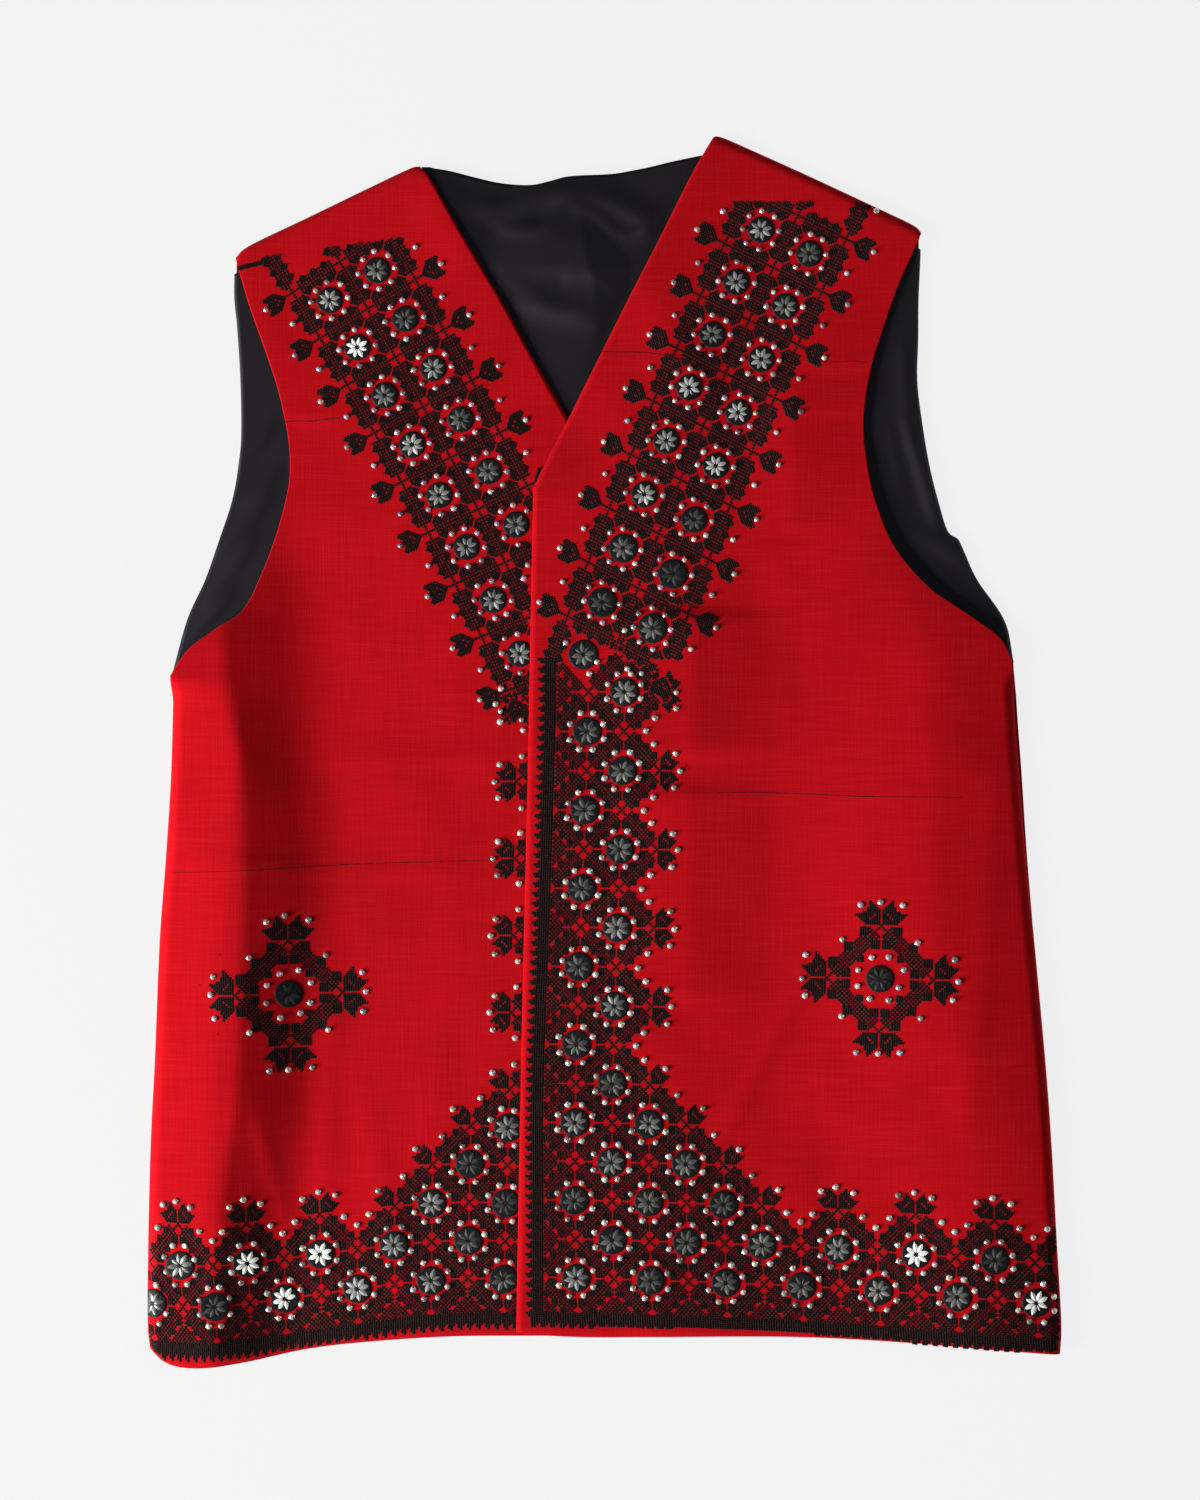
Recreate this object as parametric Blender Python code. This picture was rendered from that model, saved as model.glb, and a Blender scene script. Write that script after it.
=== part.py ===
"""Waist-length open folk vest, laid flat on a surface with its front up.

Four pieces of cloth: a red back, the black satin that lines it, and two red fronts that cross at the centre.
Across grows toward the viewer's right, up toward the shoulders, and height away from the surface.
All tables are in millimetres from the middle of the laid garment.
"""

import math

import bmesh
import bpy
import numpy as np
from mathutils import Vector

MM = 0.001

# ---------------------------------------------------------------- sizes, mm
BACK_WALL = 1.0  # red back cloth
LINING_WALL = 1.0  # black satin with its fusing
FRONT_WALL = 1.5  # red front cloth with its own lining fused to it
SEAM_GAP = 0.3  # between pieces
CROSS_GAP = 0.6  # between the two fronts where they cross
SEAM_TURN = 7.0  # the lining stops this far inside side and shoulder seams
HEM_TURN = 9.0  # the lining stops this far above the hem
BACK_INSET = 0.8  # the back cloth stops this far inside its lining's open edges
SIDE_ROLL_RIGHT = 38.0  # the wearer's right side rolls round over this width
SIDE_EDGE = 6.5  # and its last part turns down steeply
SIDE_ROLL_LEFT = 7.0  # the wearer's left side is pressed to a narrow edge
SHOULDER_ROLL = 6.0  # both shoulder seams turn down over this width
CROSS_FADE = 70.0  # past the crossing the upper front sinks over this width

BACK_TOP = BACK_WALL
LINING_TOP = BACK_TOP + SEAM_GAP + LINING_WALL
FRONT_TOP = LINING_TOP + SEAM_GAP + FRONT_WALL
RIM = BACK_TOP + SEAM_GAP  # the fronts' seamed edges come down to this height

CENTRE_ACROSS, CENTRE_UP = -0.276, 0.037  # the middle of the box round all four pieces, which is the origin

# ---------------------------------------------------------------- cutting tables
# columns: across, up
SIDE_RIGHT = [
    (-250.0, -327.2), (-251.1, -313.0), (-250.8, -269.0), (-249.4, -214.0),
    (-247.2, -170.0), (-244.5, -104.0), (-241.2, -60.0), (-238.4, -16.0),
    (-237.3, 20.0), (-236.8, 41.2),
]
ARMHOLE_RIGHT = [
    (-236.8, 41.2), (-226.9, 55.6), (-212.6, 66.6), (-197.2, 77.6),
    (-186.7, 99.6), (-179.0, 121.6), (-173.5, 143.6), (-172.4, 160.1),
    (-174.1, 176.6), (-179.0, 198.6), (-186.2, 220.6), (-194.0, 242.6),
    (-199.0, 259.0), (-202.7, 271.2),
]
SHOULDER_RIGHT = [
    (-202.7, 271.2), (-195.0, 277.8), (-162.0, 293.7), (-129.0, 309.7),
    (-107.0, 320.1), (-101.5, 321.2),
]
NECK_RIGHT = [
    (4.1, 132.6), (-0.3, 149.1), (-19.0, 179.9), (-39.3, 215.1),
    (-57.5, 248.1), (-77.3, 281.1), (-96.0, 314.1), (-101.5, 321.2),
]
CENTRE_RIGHT = [(18.4, -320.7), (14.6, -160.0), (10.7, -27.0), (6.6, 70.0), (4.1, 132.6)]
HEM_RIGHT = [
    (-250.0, -327.2), (-239.0, -335.5), (-222.5, -337.7), (-195.0, -334.4),
    (-162.0, -327.8), (-129.0, -324.0), (-85.0, -321.2), (-35.5, -320.7),
    (18.4, -320.7),
]

SIDE_LEFT = [
    (250.5, -331.1), (251.1, -313.0), (248.6, -269.0), (245.6, -214.0),
    (242.3, -170.0), (236.2, -104.0), (231.8, -60.0), (228.3, -16.0),
    (225.6, 20.0), (224.1, 47.9),
]
ARMHOLE_LEFT = [
    (224.1, 47.9), (217.5, 61.1), (203.2, 72.1), (179.0, 88.6),
    (159.8, 110.6), (149.9, 132.6), (144.4, 154.6), (142.0, 182.0),
    (146.0, 209.6), (152.6, 231.6), (160.3, 253.6), (166.9, 269.0),
    (174.1, 284.9),
]
SHOULDER_LEFT = [
    (174.1, 284.9), (169.1, 289.3), (146.0, 300.3), (113.0, 315.7),
    (80.0, 330.6), (64.6, 337.2), (60.2, 337.7),
]
NECK_LEFT = [
    (-38.8, 143.6), (-32.7, 156.8), (-20.1, 181.0), (-3.0, 215.1),
    (13.5, 248.1), (30.5, 281.1), (47.0, 314.1), (56.9, 331.7), (60.2, 337.7),
]
CENTRE_LEFT = [
    (-48.1, -318.5), (-45.4, -170.0), (-42.1, -27.0), (-40.4, 61.1), (-38.8, 143.6),
]
HEM_LEFT = [
    (-48.1, -318.5), (8.5, -318.5), (47.0, -319.0), (91.0, -320.7),
    (135.0, -324.0), (179.0, -327.8), (212.0, -330.6), (239.5, -331.7),
    (250.5, -331.1),
]

BACK_ARMHOLE_RIGHT = [
    (-237.0, 43.5), (-229.1, 72.1), (-219.2, 94.1), (-211.5, 116.1),
    (-204.3, 138.1), (-200.5, 160.1), (-199.4, 176.6), (-199.9, 204.1),
    (-201.6, 231.6), (-203.2, 248.1), (-203.2, 262.0),
]
BACK_ARMHOLE_LEFT = [
    (224.6, 49.0), (219.7, 71.5), (204.6, 94.1), (197.0, 110.6), (194.0, 116.6), (188.6, 120.6),
    (184.0, 134.6), (178.6, 156.1), (174.2, 182.1), (171.7, 204.1),
    (172.2, 226.1), (172.4, 248.1), (173.2, 266.0), (173.6, 275.5),
]
BACK_NECK = [
    (-96.0, 320.2), (-85.0, 318.5), (-74.0, 315.7), (-57.5, 311.9),
    (-41.0, 310.8), (-30.0, 313.0), (-19.0, 315.7), (3.0, 316.8),
    (14.0, 318.5), (25.0, 320.7), (36.0, 323.4), (50.5, 326.5),
]
BACK_HEM = [
    (-247.6, -322.0), (-238.0, -330.5), (-222.5, -334.0), (-195.0, -330.8),
    (-162.0, -324.2), (-129.0, -320.4), (-85.0, -317.2), (-35.5, -315.6),
    (47.0, -315.6), (91.0, -317.2), (135.0, -320.6), (179.0, -324.3),
    (212.0, -327.2), (239.5, -328.4), (248.0, -327.6),
]
# how far the back cloth stands out past the wearer's left front; columns: up, proud
BACK_PROUD = [(-327.0, -1.0), (-140.0, -0.8), (-70.0, 0.6), (-10.0, 1.4), (30.0, 1.4), (49.0, 0.6)]

# ---------------------------------------------------------------- folds
# the large fold along the wearer's right side; columns: up, crest, rise, fall
RIGHT_SIDE_FOLD = [
    (-340.0, -214.0, 7.0, 46.0),
    (-290.0, -213.0, 8.6, 48.0),
    (-247.0, -209.5, 10.6, 52.0),
    (-192.0, -201.0, 12.0, 52.0),
    (-137.0, -198.8, 12.0, 52.0),
    (-82.0, -197.2, 12.8, 56.0),
    (-27.0, -197.6, 12.8, 54.0),
    (-5.0, -198.0, 12.0, 48.0),
    (28.0, -206.0, 12.4, 55.0),
    (60.0, -208.0, 11.6, 58.0),
    (88.0, -208.0, 8.0, 56.0),
    (112.0, -206.0, 3.4, 50.0),
    (150.0, -200.0, 0.8, 40.0),
    (340.0, -190.0, 0.3, 30.0),
]
# the swell of the wearer's left front before it falls to its side; columns: up, crest, rise
LEFT_SIDE_SWELL = [
    (-340.0, 206.0, 4.6),
    (-220.0, 204.0, 5.6),
    (-150.0, 190.0, 6.0),
    (-100.0, 180.0, 6.2),
    (0.0, 178.0, 6.0),
    (60.0, 174.0, 4.6),
    (110.0, 160.0, 2.0),
    (180.0, 150.0, 0.6),
    (340.0, 150.0, 0.3),
]
# long flat slopes of the wearer's left front; columns: foot across, crest across, foot across, low, high, rise
SLOPES = [
    (-10.0, 48.0, 107.5, -3.0, 76.0, 2.8),
    (0.0, 47.0, 90.0, -137.0, -21.0, 1.8),
    (78.0, 104.0, 138.0, 121.0, 204.0, 1.1),
]
# soft folds of the fronts; columns: across, up, half width, half length, turn in degrees, rise
FRONT_FOLDS = [
    (-152.0, -185.0, 8.0, 75.0, 2.0, 0.7),
    (-96.0, -4.0, 7.0, 55.0, 88.0, 0.8),
    (-140.0, -66.0, 4.0, 85.0, 92.0, 0.5),
    (-180.0, -236.0, 5.0, 42.0, -15.0, 0.5),
    (-97.0, 286.0, 24.0, 32.0, -30.0, 2.0),
    (84.0, -175.0, 5.0, 58.0, 27.0, 0.5),
    (105.0, -24.0, 3.5, 90.0, 89.0, 0.6),
    (130.0, 190.0, 8.0, 40.0, 84.0, 0.8),
    (-60.0, 235.0, 12.0, 80.0, 30.0, 0.4),
    (24.0, 250.0, 12.0, 80.0, -26.0, 0.4),
]
# soft folds of the lining where it shows; same columns
LINING_FOLDS = [
    (-196.0, 150.0, 6.0, 26.0, -50.0, 1.6),
    (-208.0, 92.0, 6.0, 24.0, -30.0, 1.4),
    (164.0, 170.0, 6.0, 40.0, 10.0, 1.8),
    (196.0, 84.0, 6.0, 30.0, 38.0, 1.2),
]
# the pleat down the lining's opening: a slow rise from the left, a sharp crest, a short fall;
# columns: up, across of its left foot, crest and right foot, rise
LINING_PLEAT = [
    (206.0, -40.0, -8.0, -5.0, 0.0),
    (232.0, -50.0, -8.1, -2.5, 0.9),
    (252.0, -60.0, -9.8, 7.0, 2.8),
    (259.0, -64.0, -10.6, 9.0, 3.2),
    (266.0, -68.0, -12.6, 11.5, 4.2),
    (280.0, -70.0, -15.0, 3.0, 3.0),
    (295.0, -72.0, -17.3, -12.0, 0.4),
    (300.0, -72.0, -18.0, -14.0, 0.0),
]
# soft ridges that run on over the pleat: width, rise, and the points that each follows
LINING_RIDGES = [
    (5.0, 1.0, [(-74.0, 298.0), (-52.0, 299.0), (-36.0, 304.5), (-20.0, 306.0), (-4.0, 305.5), (12.0, 298.0), (30.0, 286.0)]),
    (3.4, 0.7, [(-48.0, 287.0), (-36.0, 287.0), (-29.0, 292.0), (-23.0, 298.5), (-17.0, 300.0), (-5.0, 294.5), (8.0, 286.0), (24.0, 288.0)]),
    (3.2, 1.1, [(-26.0, 261.0), (-16.0, 264.5), (-5.0, 262.0), (4.0, 256.0), (12.0, 250.0)]),
    (7.0, 1.2, [(-66.0, 262.0), (-48.0, 250.0), (-30.0, 243.5), (-12.0, 241.0)]),
]

RED = (0.42, 0.006, 0.012, 1.0)
BLACK = (0.010, 0.010, 0.012, 1.0)


# ---------------------------------------------------------------- curves
def smooth(table, steps=10):
    """A soft curve through a table's rows."""
    p = np.array(table, float)
    p = np.vstack([2 * p[0] - p[1], p, 2 * p[-1] - p[-2]])
    out = []
    for i in range(1, len(p) - 2):
        a, b, c, d = p[i - 1 : i + 3]
        for t in np.linspace(0, 1, steps, endpoint=False):
            out.append(
                0.5 * (2 * b + (c - a) * t + (2 * a - 5 * b + 4 * c - d) * t**2 + (3 * b - a - 3 * c + d) * t**3)
            )
    out.append(p[-2])
    return np.array(out)


def along(curve, shares):
    """Points at these shares of a curve's length."""
    run = np.concatenate([[0], np.cumsum(np.linalg.norm(np.diff(curve, axis=0), axis=1))])
    at = np.asarray(shares) * run[-1]
    return np.stack([np.interp(at, run, curve[:, 0]), np.interp(at, run, curve[:, 1])], axis=1)


def two_part(lower, upper, low_shares, high_shares):
    """One edge made of two curves that meet at a corner."""
    return np.vstack([along(smooth(lower), low_shares), along(smooth(upper), high_shares)[1:]])


def patch(outer, inner, bottom, top, across, upward):
    """A grid of points between four edges; rows run from the outer edge to the inner one."""
    u = np.asarray(across)[None, :, None]
    v = np.asarray(upward)[:, None, None]
    L, R, B, T = outer[:, None, :], inner[:, None, :], bottom[None, :, :], top[None, :, :]
    corners = (
        (1 - u) * (1 - v) * B[:, :1] + u * (1 - v) * B[:, -1:] + (1 - u) * v * T[:, :1] + u * v * T[:, -1:]
    )
    return (1 - u) * L + u * R + (1 - v) * B + v * T - corners


# ---------------------------------------------------------------- heights
def step(t):
    t = np.clip(t, 0, 1)
    return t * t * (3 - 2 * t)


def column(table, up, which):
    rows = np.array(table, float)
    return np.interp(up, rows[:, 0], rows[:, which])


def pleat(table, x, y):
    left, crest, right, rise = (column(table, y, k) for k in range(1, 5))
    return rise * np.clip(np.minimum((x - left) / (crest - left), (right - x) / (right - crest)), 0, 1)


def ridges(table, x, y):
    """Soft ridges along curves, rounded off at both ends."""
    z = 0.0
    for width, rise, points in table:
        near, line = np.full(np.shape(x), 1e6), smooth(points, 4)
        for (ax, ay), (bx, by) in zip(line, line[1:]):
            dx, dy = bx - ax, by - ay
            t = np.clip(((x - ax) * dx + (y - ay) * dy) / (dx * dx + dy * dy), 0, 1)
            near = np.minimum(near, np.hypot(x - ax - t * dx, y - ay - t * dy))
        z = z + rise * np.exp(-((near / width) ** 2))
    return z


def soft_folds(table, x, y):
    z = np.zeros_like(x)
    for across, up, width, length, turn, rise in table:
        c, s = math.cos(math.radians(turn)), math.sin(math.radians(turn))
        side, run = (x - across) * c - (y - up) * s, (x - across) * s + (y - up) * c
        z += rise * np.exp(-((side / width) ** 2) - (run / length) ** 4)
    return z


def slopes(table, x, y):
    """Straight-sided low ridges, fading at both ends."""
    z = np.zeros_like(x)
    for left, crest, right, low, high, rise in table:
        across = np.clip(np.minimum((x - left) / (crest - left), (right - x) / (right - crest)), 0, 1)
        z = z + rise * across * step((y - low + 5) / 10) * step((high + 5 - y) / 10)
    return z


def edge_x(table, up):
    rows = smooth(table)
    order = np.argsort(rows[:, 1])
    return np.interp(up, rows[order, 1], rows[order, 0])


def edge_y(table, across):
    rows = smooth(table)
    order = np.argsort(rows[:, 0])
    return np.interp(across, rows[order, 0], rows[order, 1])


def off_line(x, y, a, b):
    """Distance below the line from a to b."""
    (ax, ay), (bx, by) = a, b
    n = math.hypot(bx - ax, by - ay)
    return ((bx - ax) * (ay - y) - (by - ay) * (ax - x)) / n


def turn_down(d, width):
    d = np.clip(d / width, 0, 1)
    return np.sqrt(np.clip(1 - (1 - d) ** 2, 0, 1))


def falling(t):
    """From 0 at a crest to 1 at its foot: rounded at the crest, straight, then easing out."""
    r = 0.07

    def run(s):
        return np.where(s < -r, 0.0, np.where(s > r, s, (s + r) ** 2 / (4 * r)))

    past = np.clip(t - 0.5, 0, 0.5)
    return np.clip((run(t) - past**2 - np.clip(t - 1, 0, None)) / 0.75, 0, 1)


def laid(x, y):
    """The fronts' common lie above the lining, before their seamed edges turn down."""
    crest, rise, fall = (column(RIGHT_SIDE_FOLD, y, i) for i in (1, 2, 3))
    z = rise * (1 - falling((x - crest) / fall))
    crest, rise = column(LEFT_SIDE_SWELL, y, 1), column(LEFT_SIDE_SWELL, y, 2)
    before, past = np.clip(crest - x, 0, None), np.clip(x - crest, 0, None)
    up_to = np.clip(1 - before / 84, 0, 1)
    z = z + rise * (0.5 * up_to + 0.5 * step(up_to)) * (1 - 0.93 * np.clip(past / 60, 0, 1) ** 1.7)
    z = z + slopes(SLOPES, x, y)
    return z + soft_folds(FRONT_FOLDS, x, y)


def right_front_top(x, y):
    z = FRONT_TOP + laid(x, y)
    side = x - edge_x(SIDE_RIGHT, np.minimum(y, 41.2))
    free = step((y - 26.0) / 14.0)
    p = 0.62 * turn_down(side, SIDE_EDGE) + 0.38 * (1 - (1 - np.clip(side / SIDE_ROLL_RIGHT, 0, 1)) ** 1.3)
    z = RIM + (z - RIM) * (p + (1 - p) * free)
    shoulder = 0.9 * (edge_y(SHOULDER_RIGHT, x) - y)
    return RIM + (z - RIM) * turn_down(shoulder, SHOULDER_ROLL)


def left_front_top(x, y):
    lift = (FRONT_WALL + CROSS_GAP) * (1 - 0.8 * step((x - 24.0) / CROSS_FADE))
    z = FRONT_TOP + lift + laid(x, y)
    side = edge_x(SIDE_LEFT, np.minimum(y, 47.9)) - x
    free = step((y - 32.0) / 14.0)
    p = turn_down(side, SIDE_ROLL_LEFT)
    z = RIM + (z - RIM) * (p + (1 - p) * free)
    shoulder = 0.9 * (edge_y(SHOULDER_LEFT, x) - y)
    return RIM + (z - RIM) * turn_down(shoulder, SHOULDER_ROLL)


def lining_top(x, y):
    neck = np.minimum(
        off_line(x, y, (-19.0, 179.9), (-101.5, 321.2)), off_line(x, y, (60.2, 337.7), (-20.1, 181.0))
    )
    right = np.where(y > 45, edge_x(ARMHOLE_RIGHT, y) - x, 0)
    left = np.where(y > 52, x - edge_x(ARMHOLE_LEFT, y), 0)
    shows = np.maximum(step((neck - 17) / 14), np.maximum(step((right - 2) / 12), step((left - 2) / 12)))
    folds = soft_folds(LINING_FOLDS, x, y) + pleat(LINING_PLEAT, x, y) + ridges(LINING_RIDGES, x, y)
    return LINING_TOP + folds * shows


# ---------------------------------------------------------------- solids
def material(name, colour, roughness):
    m = bpy.data.materials.new(name)
    m.use_nodes = True
    b = m.node_tree.nodes["Principled BSDF"]
    b.inputs["Base Color"].default_value = colour
    b.inputs["Roughness"].default_value = roughness
    return m


def solid(name, verts, faces, mat):
    mesh = bpy.data.meshes.new(name)
    centre = Vector((CENTRE_ACROSS, CENTRE_UP, 0.0))
    mesh.from_pydata([tuple((Vector(v) - centre) * MM) for v in verts], [], faces)
    mesh.validate()
    bm = bmesh.new()
    bm.from_mesh(mesh)
    bmesh.ops.triangulate(bm, faces=[f for f in bm.faces if len(f.verts) == 4], quad_method="BEAUTY")
    bmesh.ops.recalc_face_normals(bm, faces=bm.faces)
    if bm.calc_volume(signed=True) < 0:
        bmesh.ops.reverse_faces(bm, faces=bm.faces)
    bm.to_mesh(mesh)
    bm.free()
    mesh.materials.append(mat)
    obj = bpy.data.objects.new(name, mesh)
    bpy.context.scene.collection.objects.link(obj)
    return obj


def wall(name, grid, top, thickness, mat, floor=None):
    """Cloth of one thickness on a grid of points, under the surface that top gives."""
    rows, cols = grid.shape[:2]
    x, y = grid[..., 0], grid[..., 1]
    z = top(x, y)
    h = 0.25
    middle = grid.reshape(-1, 2).mean(axis=0)
    toward = middle - grid
    toward /= np.linalg.norm(toward, axis=2, keepdims=True) + 1e-9
    rim = np.zeros((rows, cols), bool)
    rim[0, :] = rim[-1, :] = rim[:, 0] = rim[:, -1] = True
    nudge = np.where(rim[..., None], toward * 2 * h, 0)
    qx, qy = x + nudge[..., 0], y + nudge[..., 1]
    gx = (top(qx + h, qy) - top(qx - h, qy)) / (2 * h)
    gy = (top(qx, qy + h) - top(qx, qy - h)) / (2 * h)
    n = np.stack([-gx, -gy, np.ones_like(gx)], axis=2)
    n /= np.linalg.norm(n, axis=2, keepdims=True)
    outer = np.stack([x, y, z], axis=2)
    inner = outer - thickness * n
    if floor is not None:
        inner[..., 2] = np.maximum(inner[..., 2], floor)
    verts = np.vstack([outer.reshape(-1, 3), inner.reshape(-1, 3)])
    k = rows * cols
    faces = []
    at = lambda r, c: r * cols + c
    for r in range(rows - 1):
        for c in range(cols - 1):
            q = (at(r, c), at(r, c + 1), at(r + 1, c + 1), at(r + 1, c))
            faces.append(q)
            faces.append(tuple(k + i for i in reversed(q)))
    ring = (
        [at(0, c) for c in range(cols - 1)]
        + [at(r, cols - 1) for r in range(rows - 1)]
        + [at(rows - 1, c) for c in range(cols - 1, 0, -1)]
        + [at(r, 0) for r in range(rows - 1, 0, -1)]
    )
    for a, b in zip(ring, ring[1:] + ring[:1]):
        faces.append((b, a, k + a, k + b))
    return solid(name, verts, faces, mat)


def plate(name, ring, low, high, mat):
    """Flat cloth inside one closed outline."""
    n = len(ring)
    verts = [(x, y, low) for x, y in ring] + [(x, y, high) for x, y in ring]
    faces = [tuple(reversed(range(n))), tuple(range(n, 2 * n))]
    faces += [(i, (i + 1) % n, n + (i + 1) % n, n + i) for i in range(n)]
    return solid(name, verts, faces, mat)


def inset(curve, distance):
    """A curve moved sideways, to the left of its run."""
    d = np.gradient(curve, axis=0)
    d /= np.linalg.norm(d, axis=1, keepdims=True)
    return curve + distance * np.stack([-d[:, 1], d[:, 0]], axis=1)


def shares(n, first=()):
    """Even shares from 0 to 1, with a few extra ones near 0."""
    even = np.linspace(0, 1, n + 1)
    return np.array(sorted(set(np.round(np.concatenate([even, first]), 6))))


def front(name, side, armhole, centre, neck, hem, shoulder, columns_, low, high, top, mat):
    outer = two_part(side, armhole, low, high)
    inner = two_part(centre, neck, low, high)
    upward = np.concatenate([low * 0.6, 0.6 + high[1:] * 0.4])
    return wall(
        name,
        patch(outer, inner, along(smooth(hem), columns_), along(smooth(shoulder), columns_), columns_, upward),
        top,
        FRONT_WALL,
        mat,
        floor=RIM,
    )


def build():
    for obj in list(bpy.data.objects):
        bpy.data.objects.remove(obj, do_unlink=True)
    red_back = material("red_back_cloth", RED, 0.85)
    satin = material("black_satin", BLACK, 0.35)
    red_right = material("red_front_cloth_right", RED, 0.85)
    red_left = material("red_front_cloth_left", RED, 0.85)

    # the wearer's right front, underneath at the centre
    cols = np.array([0, 0.003, 0.012, 0.03, 0.055, 0.09, 0.13, 0.165, 0.2, 0.235, 0.28, 0.33, 0.39, 0.46, 0.54, 0.63, 0.72, 0.81, 0.9, 1.0])
    low = np.linspace(0, 1, 14)
    high = np.concatenate([np.linspace(0, 0.94, 9), [0.972, 0.99, 0.997, 1.0]])
    front("front_panel_right", SIDE_RIGHT, ARMHOLE_RIGHT, CENTRE_RIGHT, NECK_RIGHT, HEM_RIGHT, SHOULDER_RIGHT,
          cols, low, high, right_front_top, red_right)

    # the wearer's left front, on top at the centre
    cols = np.array([0, 0.0015, 0.006, 0.014, 0.024, 0.06, 0.11, 0.16, 0.21, 0.27, 0.33, 0.39, 0.45, 0.51, 0.57, 0.64, 0.71, 0.78, 0.85, 0.92, 1.0])
    front("front_panel_left", SIDE_LEFT, ARMHOLE_LEFT, CENTRE_LEFT, NECK_LEFT, HEM_LEFT, SHOULDER_LEFT,
          cols, low, high, left_front_top, red_left)

    # the lining: its seamed edges stop short, its open edges are the garment's
    def drawn_in(side, by, last):
        rows = [(x + by * (1 - step((y - 12.0) / 26.0)), y) for x, y in side]
        return rows[:-1] + [last]

    lin_right = drawn_in(SIDE_RIGHT, SEAM_TURN, BACK_ARMHOLE_RIGHT[0])
    lin_left = drawn_in(SIDE_LEFT, -SEAM_TURN, BACK_ARMHOLE_LEFT[0])
    lin_hem = [(x * 0.972, y + HEM_TURN) for x, y in BACK_HEM]
    lin_right[0], lin_left[0] = lin_hem[0], lin_hem[-1]
    slope_r = [(-203.2, 262.0), (-102.0, 309.0), (-94.4, 314.4)]
    slope_l = [(52.0, 327.5), (173.6, 275.5)]
    lin_top = slope_r + BACK_NECK[1:-1] + slope_l
    low_l = np.linspace(0, 1, 7)
    high_l = np.linspace(0, 1, 19)
    edge_r = two_part(lin_right, BACK_ARMHOLE_RIGHT, low_l, high_l)
    edge_l = two_part(lin_left, BACK_ARMHOLE_LEFT, low_l, high_l)
    top_curve = np.array(lin_top, float)
    run = np.concatenate([[0], np.cumsum(np.linalg.norm(np.diff(top_curve, axis=0), axis=1))])
    across = shares(26, run[[1, 2, -2]] / run[-1])
    upward = np.concatenate([low_l * 0.58, 0.58 + high_l[1:] * 0.42])
    grid = patch(edge_r, edge_l, along(smooth(lin_hem), across), along(top_curve, across), across, upward)
    wall("back_lining", grid, lining_top, LINING_WALL, satin, floor=BACK_TOP + SEAM_GAP)

    # the back cloth, flat on the surface
    side_r = smooth(SIDE_RIGHT, 3)[1:-1] + (1.0, 0.0)
    side_l = smooth(SIDE_LEFT, 3)[1:-1]
    side_l = side_l + np.stack([column(BACK_PROUD, side_l[:, 1], 1), np.zeros(len(side_l))], axis=1)
    ring = np.vstack([
        smooth(BACK_HEM, 3),
        side_l,
        inset(smooth(BACK_ARMHOLE_LEFT, 3), BACK_INSET),
        inset(smooth([(173.4, 284.4)] + SHOULDER_LEFT[1:], 2), 0.6),
        [(59.4, 333.5), (56.4, 327.0)],
        inset(smooth(BACK_NECK[::-1], 3), BACK_INSET)[:-1],
        [(-98.8, 316.8)],
        inset(smooth(SHOULDER_RIGHT[::-1], 2), 0.6)[2:],
        inset(smooth(BACK_ARMHOLE_RIGHT[::-1], 3), BACK_INSET),
        side_r[::-1],
    ])
    plate("back_panel", ring, 0.0, BACK_WALL, red_back)


build()
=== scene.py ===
import math

import bmesh
import bpy
import numpy as np
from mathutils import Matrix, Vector


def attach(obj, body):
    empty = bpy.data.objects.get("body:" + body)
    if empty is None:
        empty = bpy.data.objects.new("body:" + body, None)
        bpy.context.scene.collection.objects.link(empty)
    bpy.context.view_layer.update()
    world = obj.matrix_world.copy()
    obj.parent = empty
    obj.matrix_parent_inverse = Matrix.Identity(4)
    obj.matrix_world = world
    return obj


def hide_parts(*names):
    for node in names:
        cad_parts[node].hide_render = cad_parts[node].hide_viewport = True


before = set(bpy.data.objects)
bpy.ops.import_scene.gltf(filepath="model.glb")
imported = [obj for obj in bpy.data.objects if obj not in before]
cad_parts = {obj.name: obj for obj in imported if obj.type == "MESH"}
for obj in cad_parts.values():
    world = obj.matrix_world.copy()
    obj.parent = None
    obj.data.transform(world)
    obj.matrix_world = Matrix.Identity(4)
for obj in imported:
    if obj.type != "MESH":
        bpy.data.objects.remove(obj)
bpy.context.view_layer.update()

# Everything is in millimetres from the middle of the laid vest until it becomes a mesh.
# Across grows toward the viewer's right, up toward the shoulders, height away from the surface.
MM = 0.001
CENTRE_ACROSS, CENTRE_UP = -0.276, 0.037

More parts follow.
